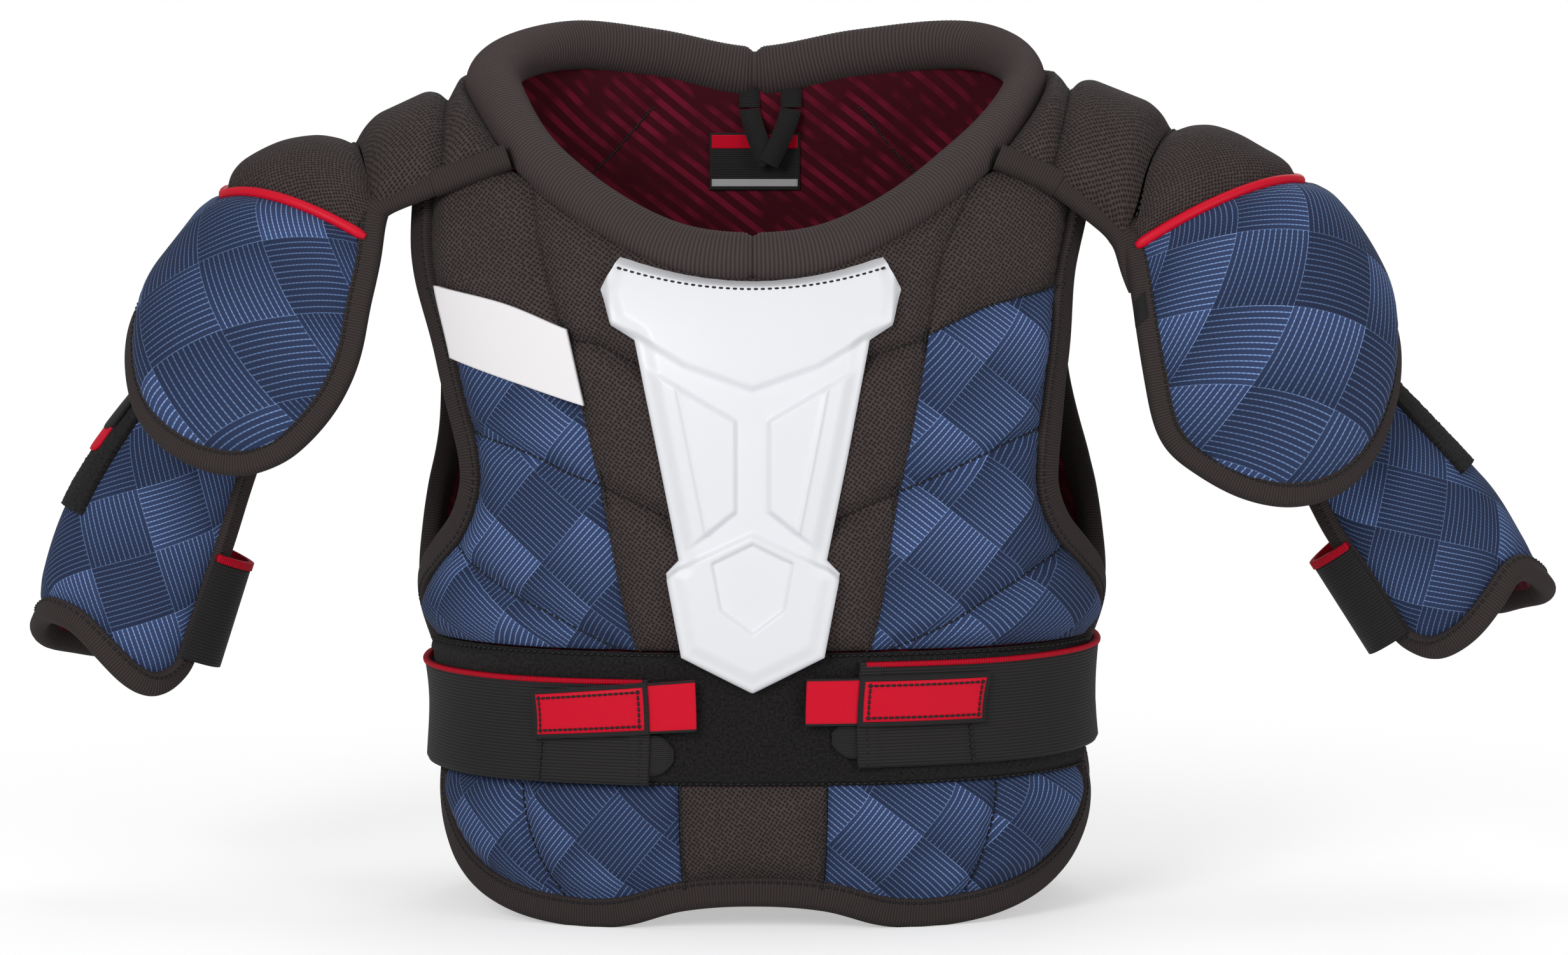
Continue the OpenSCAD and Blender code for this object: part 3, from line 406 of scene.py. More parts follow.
def both(k):
    """An edge and its mirror image as one edge across the centre."""
    return [[-p[0], p[1]] for p in k[:0:-1]] + list(k)


def flipped(k):
    """An edge's mirror image."""
    return [[-p[0], p[1]] for p in k]


def neck(t):
    """Centre line of the neck roll's left half, front centre at 0 and back centre at 9."""
    return along(NECK, np.asarray(t, float) + 1)


def arch(s):
    """Saddle line over a shoulder, front at -1 and back at 1, and its normal."""
    a = np.radians(np.asarray(s, float) * 78)
    place = np.stack([np.full_like(a, 152), 4 + 55 * np.sin(a), 376 - 48 * (1 - np.cos(a))], -1)
    return place, np.stack([np.zeros_like(a), np.sin(a), np.cos(a)], -1)


def yoke_crease(s, side):
    """Crease between the yoke and the bridge."""
    top, inward, drop = YOKE_CREASE[side]
    place = arch(s)[0]
    place[..., 0] = top - inward * np.maximum(0, -np.asarray(s, float)) ** 1.5
    place[..., 2] -= drop * np.cos(np.radians(np.asarray(s, float) * 78))
    return place


def yoke_in(s):
    """Inner edge of the yoke, tucked against the neck roll."""
    t = 3.3 + 3.25 * (np.asarray(s, float) + 1) / 2
    g = neck(t + 0.05) - neck(t - 0.05)
    side = unit(np.stack([g[..., 1], -g[..., 0], np.zeros_like(t)], -1))
    return neck(t) + 9.6 * side - [0, 0, 7]


def cap_at(s, t, d, arm):
    """A shoulder cap: front to back -1 to 1, places along its crown line, distance outwards."""
    s, t, d = np.broadcast_arrays(np.asarray(s, float), np.asarray(t, float), np.asarray(d, float))
    crown = along(CAP_LINE, t)
    side = along(CAP_EDGE, t)
    a = np.radians(s * CAP_TURN)
    d = d + arm.bulge * np.exp(-(((t - arm.bulge_at) / 1.12) ** 2)) * np.cos(a)
    f = (1 - np.cos(a)) / (1 - math.cos(math.radians(CAP_TURN)))
    q = crown + (side - crown) * f[..., None] + unit(crown - side) * (d * np.cos(a))[..., None]
    y = (along(CAP_W, t)[..., 0] + d) * np.sin(a)
    lift = math.radians(arm.lift)
    yaw = math.radians(arm.yaw)
    x = q[..., 0] * math.cos(lift) - q[..., 1] * math.sin(lift)
    z = q[..., 0] * math.sin(lift) + q[..., 1] * math.cos(lift)
    out = [x * math.cos(yaw) + y * math.sin(yaw), -x * math.sin(yaw) + y * math.cos(yaw), z]
    return np.stack(out, -1) + np.array(arm.cap, float)


def read_off(points, where):
    """Height of a smooth curve through points at places along its first column."""
    curve = along(points, np.linspace(0, len(points) - 1, 160))
    return np.interp(where, curve[:, 0], curve[:, 1])


def cap_rim(s, side):
    """Where a cap's rim lies along its crown line."""
    return read_off(CAP_RIM[side], s)


def cap_front(t, side):
    """Front edge of a cap: its turn at a place along the crown line."""
    return read_off(CAP_FRONT[side], t)


def cap_crease(s, side):
    """Crease at a cap's root: its place along the crown line at a turn."""
    return read_off(CAP_CREASE[side], s)


def cap_puff(s, t, side):
    """How far the root of a cap is puffed up over its crown."""
    a = np.radians(np.asarray(s) * CAP_TURN)
    return CAP_PUFF[side] * ease((1.5 - np.asarray(t)) / 1.35) * np.cos(a)


def pipe_line(s, side):
    """Where the piping lies along a cap's crown line."""
    return PIPE_TOP[side] - (PIPE_TOP[side] - PIPE_END[side]) * np.abs(s) ** 1.2


def bicep_at(a, t, d, arm):
    """A bicep wrap: degrees round from its facing side, share of its length, distance outwards."""
    lean = math.radians(arm.lean)
    tilt = math.radians(arm.tilt)
    down = np.array([math.sin(lean) * math.cos(tilt), -math.sin(tilt), -math.cos(lean) * math.cos(tilt)])
    ahead = np.array([0, -1.0, 0])
    ahead = unit(ahead - down * (ahead @ down))
    across = np.cross(down, ahead)
    a = np.radians(np.asarray(a) - 50)
    a, t, d = np.broadcast_arrays(a, np.asarray(t, float), np.asarray(d, float))
    r = 31 + 13 * t
    outer = arm.outer * np.sin(np.pi * np.clip(t, 0, 1) ** 1.2) - arm.outer_foot * ease((t - 0.7) / 0.4)
    outer = outer * np.clip(-np.sin(a), 0, 1)
    inner = arm.inner_top + (arm.inner_foot - arm.inner_top) * ease((t - 0.32) / 0.22)
    inner = inner * np.clip(np.sin(a), 0, 1)
    deep = ahead * ((0.86 * r + d) * np.cos(a))[..., None]
    wide = across * ((r + d + outer + inner) * np.sin(a))[..., None]
    return np.array(arm.wrap, float) + down * (t * BICEP_LEN)[..., None] + deep + wide


def wrap_end(a, side):
    """Share of the length at which a wrap ends, at degrees round the arm."""
    return read_off(WRAP_END[side], a)


def spaced(points, step):
    """Points along a line at even steps in space; columns after the third are carried along."""
    run = np.concatenate([[0], np.cumsum(np.linalg.norm(np.diff(points[:, :3], axis=0), axis=1))])
    where = np.linspace(0, run[-1], max(2, int(round(run[-1] / step)) + 1))
    return np.stack([np.interp(where, run, points[:, i]) for i in range(points.shape[1])], -1)


def drawn(line, step=1.0, turned=0.0):
    """A line of [degrees, height] points on the torso at even steps: places, then degrees and heights."""
    q = along(line, np.linspace(0, len(line) - 1, 30 * len(line)))
    q[:, 0] += turned
    made = spaced(np.concatenate([torso(q[:, 0], q[:, 1]), q], 1), step)
    return made[:, :3], made[:, 3:]


def nearest(points, line):
    """Distance from each point to the nearest of a line's points, and that point's number."""
    far = np.empty(len(points))
    number = np.empty(len(points), int)
    for i in range(0, len(points), 3000):
        some = points[i : i + 3000]
        square = (some**2).sum(1)[:, None] + (line**2).sum(1)[None] - 2 * some @ line.T
        number[i : i + 3000] = square.argmin(1)
        far[i : i + 3000] = np.sqrt(np.maximum(square.min(1), 0))
    return far, number


def ring(grid):
    """The points round a grid, in order."""
    return np.concatenate([grid[0], grid[1:, -1], grid[-1, -2::-1], grid[-2:0:-1, 0]])


def rim_line(grid):
    """The closed line round a grid of points, at steps of 1 mm."""
    return spaced(np.concatenate([ring(grid), grid[:1, 0]]), 1.0)


def stuffed(points, lines, sizes, crown):
    """Height of a stuffed pad over its backing. Each line holds it at a height over a flat half width
    and lets it rise within a reach, and its stitches gather the cloth beside it."""
    height = np.full(len(points), float(crown))
    gathers = np.zeros(len(points))
    for line, low, flat, reach in lines:
        far, number = nearest(points, line)
        rise = 1 - (1 - np.clip((far - flat) / reach, 0, 1)) ** 2.3
        height *= 1 - (1 - low / crown) * (1 - rise)
        turn = 2 * np.pi * number / (sizes.gather_pitch / MM)
        gathers += np.sin(turn + 1.3 * np.sin(turn * 0.23)) * np.exp(-(((far - flat - 4) / 3) ** 2))
    return height + gathers * sizes.gather / MM


def solid(outer, inner, uv):
    """Closed skin between two grids of points. Outwards is column step x row step."""
    i = np.arange(outer.shape[0] * outer.shape[1]).reshape(outer.shape[:2])
    top = np.stack([i[:-1, :-1], i[:-1, 1:], i[1:, 1:], i[1:, :-1]], -1).reshape(-1, 4)
    rim = ring(i)
    after = np.roll(rim, -1)
    wall = np.stack([rim, rim + i.size, after + i.size, after], -1)
    points = np.concatenate([outer.reshape(-1, 3), inner.reshape(-1, 3)])
    faces = np.concatenate([top, (top + i.size)[:, ::-1], wall])
    uv = uv.reshape(-1, 2)
    return points, faces.tolist(), np.concatenate([uv, uv])


def swept(path, normals, section, swell=None):
    """Skin of a section carried along a path. Its points are (along the normal, across), turning
    from the normal to the path's direction x normal."""
    t = unit(np.gradient(path, axis=0))
    n = unit(normals - t * (normals * t).sum(1, keepdims=True))
    b = np.cross(t, n)
    section = np.asarray(section, float)
    size = np.ones(len(path)) if swell is None else swell
    grown = section[None] * size[:, None, None]
    rings = path[:, None] + grown[..., :1] * n[:, None] + grown[..., 1:] * b[:, None]
    i = np.arange(rings.shape[0] * rings.shape[1]).reshape(rings.shape[:2])
    j = np.roll(i, -1, 1)
    faces = np.stack([i[:-1], j[:-1], j[1:], i[1:]], -1).reshape(-1, 4).tolist()
    faces += [i[0, ::-1].tolist(), i[-1].tolist()]
    run = np.concatenate([[0], np.cumsum(np.linalg.norm(np.diff(path, axis=0), axis=1))])
    round_it = np.concatenate([[0], np.cumsum(np.linalg.norm(np.diff(section, axis=0), axis=1))])
    uv = np.stack(np.broadcast_arrays(round_it[None], run[:, None]), -1)
    return rings.reshape(-1, 3), faces, uv.reshape(-1, 2)


def tape_section(half, leg, bulge, side):
    """Section of a tape folded over an edge: two legs on the cloth and a round fold outside it."""
    turn = np.radians(np.linspace(90, -90, 11))
    fold = [(half * math.sin(a), bulge * math.cos(a)) for a in turn]
    legs = [(-half, 1.4 - leg), (1.1 - half, -leg), (half - 1.1, -leg), (half - 0.1, 0.8 - leg)]
    legs.append((half, 2.2 - leg))
    section = [(n, side * e) for n, e in fold + legs]
    return section if side > 0 else section[::-1]


def circle(radius, sides, start=0.0):
    """A round section."""
    turn = np.radians(start) + 2 * np.pi * np.arange(sides) / sides
    return np.stack([radius * np.cos(turn), radius * np.sin(turn)], -1)


def stitched(lines, sizes):
    """Stitches along lines, each a pair of places at the stitches' pitch and normals there."""
    step = sizes.stitch / MM
    r = sizes.thread / MM
    along_it = np.array([-0.5, -0.4, 0, 0.4, 0.5])
    thick = np.array([0.02, 0.8, 1, 0.8, 0.02])
    turn = 2 * np.pi * np.arange(6) / 6
    x = np.repeat(along_it * step * 0.74, 6)
    y = np.outer(thick, np.cos(turn)).ravel() * r
    z = np.outer(thick, np.sin(turn)).ravel() * r + np.repeat(0.3 - 2.4 * along_it**2, 6) * r
    i = np.arange(30).reshape(5, 6)
    j = np.roll(i, -1, 1)
    quad = np.stack([i[:-1], j[:-1], j[1:], i[1:]], -1).reshape(-1, 4)
    points = []
    for places, normals in lines:
        t = unit(np.gradient(places, axis=0))
        n = unit(normals - t * (normals * t).sum(1, keepdims=True))
        b = np.cross(n, t)
        local = x[None, :, None] * t[:, None] + y[None, :, None] * b[:, None]
        local += z[None, :, None] * n[:, None]
        points.append((places[:, None] + local).reshape(-1, 30, 3))
    points = np.concatenate(points)
    faces = (quad[None] + 30 * np.arange(len(points))[:, None, None]).reshape(-1, 4)
    points = points.reshape(-1, 3)
    return points, faces.tolist(), points[:, :2]


def bound_edge(edge, half, leg, bulge, side, sizes):
    """The tape folded over an edge, from the edge's places and outward ways, and its row of stitches."""
    skin = swept(edge[:, :3], edge[:, 3:], tape_section(half, leg, bulge, side))
    even = spaced(edge, sizes.stitch / MM)
    path = even[:, :3]
    out = unit(even[:, 3:])
    inward = -side * np.cross(unit(np.gradient(path, axis=0)), out)
    row = path + inward * (leg - 1.9) + out * (half + 0.1)
    return skin, stitched([(row, out)], sizes)


def row_on_torso(a, z, d, step):
    """A row of stitches through degrees and heights on the torso, at a distance outwards."""
    line = spaced(np.concatenate([torso(a, z, d), np.stack([a, z], -1)], 1), step)
    return line[:, :3], torso(line[:, 3], line[:, 4], 1) - torso(line[:, 3], line[:, 4])


def joined(skins):
    """Several skins as one."""
    points = np.concatenate([s[0] for s in skins])
    uv = np.concatenate([s[2] for s in skins])
    faces = []
    start = 0
    for some, quads, _ in skins:
        faces += [[i + start for i in q] for q in quads]
        start += len(some)
    return points, faces, uv


def mirrored(skin):
    """A skin on the other side of the centre plane."""
    points, faces, uv = skin
    return points * [-1, 1, 1], [f[::-1] for f in faces], uv * [-1, 1]


def handed(skin, side):
    """A left skin, or its mirror image for the right."""
    return skin if side == "left" else mirrored(skin)


def sideways(points):
    """How far places on the torso hang to the wearer's left, as photographed: the panels' sides by
    their height, and the neck roll's upper corners."""
    z = points[:, 2]
    wide = np.abs(points[:, 0])
    hang = 3.8 * ease((255 - z) / 50) + 2.4 * np.exp(-(((z - 45) / 35) ** 2))
    hang -= 4.5 * np.exp(-(((z - 298) / 28) ** 2))
    lean = 6.5 * ease((z - 350) / 45) * np.clip(wide / 95, 0, 1) ** 2 * (1 - ease((wide - 95) / 55))
    return hang * np.clip(wide / 160, 0, 1.1) ** 2 + lean


def piece(name, skin, material, body, nodes=()):
    """One piece of the object from a skin in mm: it rides on its body and stands for CAD nodes."""
    points, faces, uv = skin
    points = points.copy()
    if body is None or body in ("front", "back", "left_belly_strap", "right_belly_strap"):
        points[:, 0] += sideways(points)
    points[:, 2] = np.maximum(points[:, 2], 0)
    mesh = bpy.data.meshes.new(name)
    mesh.from_pydata((points * MM).tolist(), [], faces)
    loops = np.zeros(len(mesh.loops), np.int32)
    mesh.loops.foreach_get("vertex_index", loops)
    mesh.uv_layers.new(name="cloth").data.foreach_set("uv", uv[loops].astype(np.float32).ravel())
    mesh.shade_smooth()
    mesh.materials.append(material)
    made = bpy.data.objects.new(name, mesh)
    bpy.context.scene.collection.objects.link(made)
    if body:
        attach(made, body)
    if nodes:
        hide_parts(*nodes)
    return made


def node(tree, kind, inputs=(), **settings):
    """Adds a node with its settings; inputs are (socket, value or the socket that is linked to it)."""
    made = tree.nodes.new(kind)
    for key, value in settings.items():
        setattr(made, key, value)
    for key, value in inputs:
        if isinstance(value, bpy.types.NodeSocket):
            tree.links.new(value, made.inputs[key])
        else:
            made.inputs[key].default_value = value
    return made


def begun(name, roughness, sheen=0.0):
    """A new material, its node tree, its shader and the cloth's own coordinates in mm."""
    made = bpy.data.materials.new(name)
    made.use_nodes = True
    shader = made.node_tree.nodes["Principled BSDF"]
    shader.inputs["Roughness"].default_value = roughness
    shader.inputs["Sheen Weight"].default_value = sheen
    shader.inputs["Sheen Roughness"].default_value = 0.5
    shader.inputs["Specular IOR Level"].default_value = 0.12
    place = node(made.node_tree, "ShaderNodeUVMap", uv_map="cloth").outputs[0]
    return made, made.node_tree, shader, place


def rgba(c):
    """A colour property with full alpha."""
    return (c[0], c[1], c[2], 1)


def spacer_mesh(sizes, colours):
    """Polyester mesh knitted in small open cells and laid over foam: dull raised threads round dark pits,
    whose darkness is partly the foam seen through them and partly painted shade in the cells, so it reads
    as a flat brown black with a fine slanting grain. The real cells are finer, and are drawn as coarse as
    they need to be to show."""
    made, tree, shader, place = begun("polyester_mesh", 0.9, 0.03)
    scale = 1 / (sizes.weave / MM)
    turned = node(
        tree, "ShaderNodeMapping",
        [("Vector", place), ("Rotation", (0, 0, 0.6)), ("Scale", (scale,) * 3)],
    )
    cells = node(
        tree, "ShaderNodeTexVoronoi",
        [("Vector", turned.outputs[0]), ("Scale", 1.0), ("Randomness", 0.25)],
        voronoi_dimensions="2D",
    )
    shaded_pit = node(
        tree, "ShaderNodeMapRange",
        [("Value", cells.outputs["Distance"]), ("From Min", 0.12), ("From Max", 0.52)],
    ).outputs[0]
    cloud = node(
        tree, "ShaderNodeTexNoise",
        [("Vector", place), ("Scale", 0.06), ("Detail", 3.0)],
        noise_dimensions="2D",
    )
    # the pits are painted darker than the threads: partly the foam seen through them, partly painted shade
    # in the cells
    mixed = node(
        tree, "ShaderNodeMix",
        [(0, shaded_pit), (6, rgba(colours.shaded_pit)), (7, rgba(colours.mesh))],
        data_type="RGBA",
    )
    worn = node(
        tree, "ShaderNodeMapRange",
        [("Value", cloud.outputs[0]), ("To Min", 0.86), ("To Max", 1.14)],
    )
    final = node(
        tree, "ShaderNodeVectorMath", [(0, mixed.outputs[2]), (1, worn.outputs[0])], operation="MULTIPLY"
    )
    tree.links.new(final.outputs[0], shader.inputs["Base Color"])
    bump = node(tree, "ShaderNodeBump", [("Height", shaded_pit), ("Distance", 0.0004), ("Strength", 0.6)])
    tree.links.new(bump.outputs[0], shader.inputs["Normal"])
    return made


def printed_knit(sizes, colours):
    """Close polyester knit with a heat-transferred print: matt, with ink lines only, no relief but
    the knit. The print is a plain parquet of slanting squares filled with fine lines."""
    made, tree, shader, place = begun("printed_knit", 0.8, 0.03)
    side = sizes.square / MM
    turned = node(
        tree, "ShaderNodeMapping",
        [("Vector", place), ("Rotation", (0, 0, 0.7)), ("Scale", (1 / side,) * 3)],
    ).outputs[0]
    cell = node(tree, "ShaderNodeVectorMath", [(0, turned)], operation="FLOOR").outputs[0]
    inside = node(tree, "ShaderNodeVectorMath", [(0, turned)], operation="FRACTION").outputs[0]
    corner = node(tree, "ShaderNodeSeparateXYZ", [(0, cell)])
    within = node(tree, "ShaderNodeSeparateXYZ", [(0, inside)])
    total = node(tree, "ShaderNodeMath", [(0, corner.outputs[0]), (1, corner.outputs[1])], operation="ADD")
    odd = node(tree, "ShaderNodeMath", [(0, total.outputs[0]), (1, 2.0)], operation="FLOORED_MODULO")
    odd = odd.outputs[0]
    # the lines of a square run across those of its neighbours
    across = node(tree, "ShaderNodeMix", [(0, odd), (2, within.outputs[0]), (3, within.outputs[1])])
    ahead = node(tree, "ShaderNodeMix", [(0, odd), (2, within.outputs[1]), (3, within.outputs[0])])
    half = sizes.line / sizes.square / 2
    wave = node(tree, "ShaderNodeMath", [(0, across.outputs[0]), (1, half)], operation="PINGPONG")
    ink = node(
        tree, "ShaderNodeMapRange",
        [
            ("Value", wave.outputs[0]), ("From Min", half * 0.05), ("From Max", half * 0.27),
            ("To Min", 1.0), ("To Max", 0.0),
        ],
    )
    chance = node(tree, "ShaderNodeTexWhiteNoise", [("Vector", cell)], noise_dimensions="2D")
    fade = node(
        tree, "ShaderNodeMath",
        [(0, chance.outputs[0]), (1, ahead.outputs[0]), (2, 0.12)],
        operation="MULTIPLY_ADD",
    )
    ground = node(
        tree, "ShaderNodeMix",
        [(0, fade.outputs[0]), (6, rgba(colours.print_base)), (7, rgba(colours.print_mid))],
        data_type="RGBA",
    )
    strong = node(
        tree, "ShaderNodeMapRange",
        [("Value", fade.outputs[0]), ("To Min", 0.2), ("To Max", 1.0)],
    )
    bead = node(tree, "ShaderNodeMath", [(0, ahead.outputs[0]), (1, 0.85 / side)], operation="PINGPONG")
    dash = node(
        tree, "ShaderNodeMapRange",
        [("Value", bead.outputs[0]), ("From Max", 0.5 / side), ("To Min", 0.35), ("To Max", 1.0)],
    )
    broken = node(tree, "ShaderNodeMath", [(0, ink.outputs[0]), (1, dash.outputs[0])], operation="MULTIPLY")
    weight = node(
        tree, "ShaderNodeMath",
        [(0, broken.outputs[0]), (1, strong.outputs[0])],
        operation="MULTIPLY",
    )
    final = node(
        tree, "ShaderNodeMix",
        [(0, weight.outputs[0]), (6, ground.outputs[2]), (7, rgba(colours.print_line))],
        data_type="RGBA",
    )
    tree.links.new(final.outputs[2], shader.inputs["Base Color"])
    knit = node(
        tree, "ShaderNodeTexVoronoi",
        [("Vector", place), ("Scale", 0.9), ("Randomness", 0.2)],
        voronoi_dimensions="2D",
    )
    bump = node(
        tree, "ShaderNodeBump",
        [("Height", knit.outputs[0]), ("Distance", 0.0003), ("Strength", 0.35)],
    )
    tree.links.new(bump.outputs[0], shader.inputs["Normal"])
    return made


def lining_knit(sizes, colours):
    """Brushed tricot bonded to thin foam and printed with plain slanting stripes: soft and matt,
    with a faint nap that lightens it at grazing angles."""
    made, tree, shader, place = begun("lining_tricot", 0.85, 0.05)
    turned = node(
        tree, "ShaderNodeMapping",
        [("Vector", place), ("Rotation", (0, 0, 0.9)), ("Scale", (MM / sizes.stripe,) * 3)],
    )
    way = node(tree, "ShaderNodeSeparateXYZ", [(0, turned.outputs[0])])
    wide = node(tree, "ShaderNodeMath", [(0, way.outputs[0]), (1, 0.5)], operation="PINGPONG")
    band = node(
        tree, "ShaderNodeMapRange",
        [("Value", wide.outputs[0]), ("From Min", 0.26), ("From Max", 0.3)],
    )
    slow = node(
        tree, "ShaderNodeTexNoise",
        [("Vector", turned.outputs[0]), ("Scale", 0.35)],
        noise_dimensions="2D",
    )
    deep = node(
        tree, "ShaderNodeMapRange",
        [("Value", slow.outputs[0]), ("From Min", 0.35), ("From Max", 0.65), ("To Max", 0.85)],
    )
    ink = node(tree, "ShaderNodeMath", [(0, band.outputs[0]), (1, deep.outputs[0])], operation="MULTIPLY")
    final = node(
        tree, "ShaderNodeMix",
        [(0, ink.outputs[0]), (6, rgba(colours.lining)), (7, rgba(colours.lining_line))],
        data_type="RGBA",
    )
    tree.links.new(final.outputs[2], shader.inputs["Base Color"])
    nap = node(
        tree, "ShaderNodeTexNoise",
        [("Vector", place), ("Scale", 0.9), ("Detail", 2.0)],
        noise_dimensions="2D",
    )
    bump = node(
        tree, "ShaderNodeBump",
        [("Height", nap.outputs[0]), ("Distance", 0.0004), ("Strength", 0.4)],
    )
    tree.links.new(bump.outputs[0], shader.inputs["Normal"])
    return made


def ribbed(name, tint, pitch, roughness, sheen, across=True):
    """Woven tape or elastic: fine ribs over its length or across it, with the grooves between them painted
    darker as shade, so that each rib looks lit.
    """
    made, tree, shader, place = begun(name, roughness, sheen)
    way = node(tree, "ShaderNodeSeparateXYZ", [(0, place)])
    run = way.outputs[1 if across else 0]
    wave = node(tree, "ShaderNodeMath", [(0, run), (1, pitch / 2)], operation="PINGPONG")
    rib = node(tree, "ShaderNodeMapRange", [("Value", wave.outputs[0]), ("From Max", pitch / 2)]).outputs[0]
    # painted shade: the grooves between the ribs are darkened to 0.46 of the tint, the ribs keep their own
    # colour
    painted_shade = [0.46 * v for v in tint[:3]] + [1]
    final = node(tree, "ShaderNodeMix", [(0, rib), (6, painted_shade), (7, rgba(tint))], data_type="RGBA")
    tree.links.new(final.outputs[2], shader.inputs["Base Color"])
    bump = node(tree, "ShaderNodeBump", [("Height", rib), ("Distance", 0.0004), ("Strength", 0.7)])
    tree.links.new(bump.outputs[0], shader.inputs["Normal"])
    return made


def pile(colours):
    """Nylon loop pile, brushed up into a mat of curls: it swallows light; its hollows are painted darker as
    shade and a few curl tips painted lighter as highlights.
    """
    made, tree, shader, place = begun("nylon_loop", 0.95, 0.06)
    curl = node(
        tree, "ShaderNodeTexNoise",
        [("Vector", place), ("Scale", 0.75), ("Detail", 5.0), ("Roughness", 0.7)],
    )
    tip = node(
        tree, "ShaderNodeMapRange",
        [("Value", curl.outputs[0]), ("From Min", 0.35), ("From Max", 0.75)],
    ).outputs[0]
    # painted shade in the hollows between the curls and a painted highlight on their tips, both from the
    # curls' own noise
    painted_shade = [0.35 * v for v in colours.loop] + [1]
    painted_highlight = [2.2 * v for v in colours.loop] + [1]
    final = node(tree, "ShaderNodeMix", [(0, tip), (6, painted_shade), (7, painted_highlight)], data_type="RGBA")
    tree.links.new(final.outputs[2], shader.inputs["Base Color"])
    bump = node(
        tree, "ShaderNodeBump",
        [("Height", curl.outputs[0]), ("Distance", 0.0012), ("Strength", 0.9)],
    )
    tree.links.new(bump.outputs[0], shader.inputs["Normal"])
    return made


def plain(name, tint, roughness, grain=0.0, specular=0.4):
    """One colour with a fine grain: moulded plastic, film, satin ribbon or thread."""
    made, tree, shader, place = begun(name, roughness)
    shader.inputs["Base Color"].default_value = rgba(tint)
    shader.inputs["Specular IOR Level"].default_value = specular
    if grain:
        noise = node(
            tree, "ShaderNodeTexNoise",
            [("Vector", place), ("Scale", 1.1), ("Detail", 2.0)],
            noise_dimensions="2D",
        )
        bump = node(
            tree, "ShaderNodeBump",
            [("Height", noise.outputs[0]), ("Distance", 0.0003), ("Strength", grain)],
        )
        tree.links.new(bump.outputs[0], shader.inputs["Normal"])
    return made


def finish_of(name):
    """The material of that name, made at its first use."""
    sizes = bpy.context.scene.pads_sizes
    colours = bpy.context.scene.pads_colours
    makers = {
        "polyester_mesh": lambda: spacer_mesh(sizes, colours),
        "printed_knit": lambda: printed_knit(sizes, colours),
        "lining_tricot": lambda: lining_knit(sizes, colours),
        # polyester binding, woven with a rib across it and folded over the raw edges
        "ribbed_binding": lambda: ribbed("ribbed_binding", colours.binding, 1.3, 0.85, 0.03),
        # rib-knit polyester over the roll's foam; its ribs are in the mesh, this paints shade into the
        # grooves between them and adds a fine bump
        "rib_knit": lambda: ribbed("rib_knit", colours.knit, sizes.rib / MM, 0.9, 0.05),
        # rubber-cored elastic: narrow ribs along its length and a dull nylon face
        "woven_elastic": lambda: ribbed("woven_elastic", colours.elastic, 1.5, 0.7, 0.05),
        # the coloured selvedge woven into the elastic's upper edge
        "red_selvedge": lambda: ribbed("red_selvedge", colours.red, 1.2, 0.65, 0.0, False),
        "nylon_loop": lambda: pile(colours),
        # polyester satin ribbon: smooth, with a soft wide sheen
        "red_satin": lambda: plain("red_satin", colours.red, 0.5, 0.15, 0.15),
        # bright vinyl-coated cord cover, sewn between the cap's two pads
        "red_piping": lambda: plain("red_piping", colours.red, 0.45, 0.1, 0.2),
        # injection-moulded polyethylene with a fine satin texture: soft broad highlights
        "white_polyethylene": lambda: plain("white_polyethylene", colours.white, 0.38, 0.04, 0.45),
        # heat-pressed polyurethane film: almost flat, slightly cloth-like
        "white_film": lambda: plain("white_film", colours.film, 0.6, 0.12, 0.3),
        # black polyethylene plate of the spine guard
        "black_polyethylene": lambda: plain("black_polyethylene", colours.elastic, 0.5, 0.05, 0.4),
        # bonded nylon thread, a little glossier than the cloth round it
        "nylon_thread": lambda: plain("nylon_thread", colours.thread, 0.5),
        "grey_satin": lambda: plain("grey_satin", colours.grey, 0.55),
        "black_ribbon": lambda: ribbed("black_ribbon", colours.elastic, 0.9, 0.6, 0.05),
    }
    return bpy.data.materials.get(name) or makers[name]()


def twin(side, part, skin, finish, body, slot=None):
    """The left or the right one of two like pieces, from the left one's skin. One with a slot stands
    for the CAD node of its own name."""
    name = side + "_" + part
    nodes = [name] if slot else ()
    return piece(name, handed(skin, side), finish_of(finish), body, nodes)


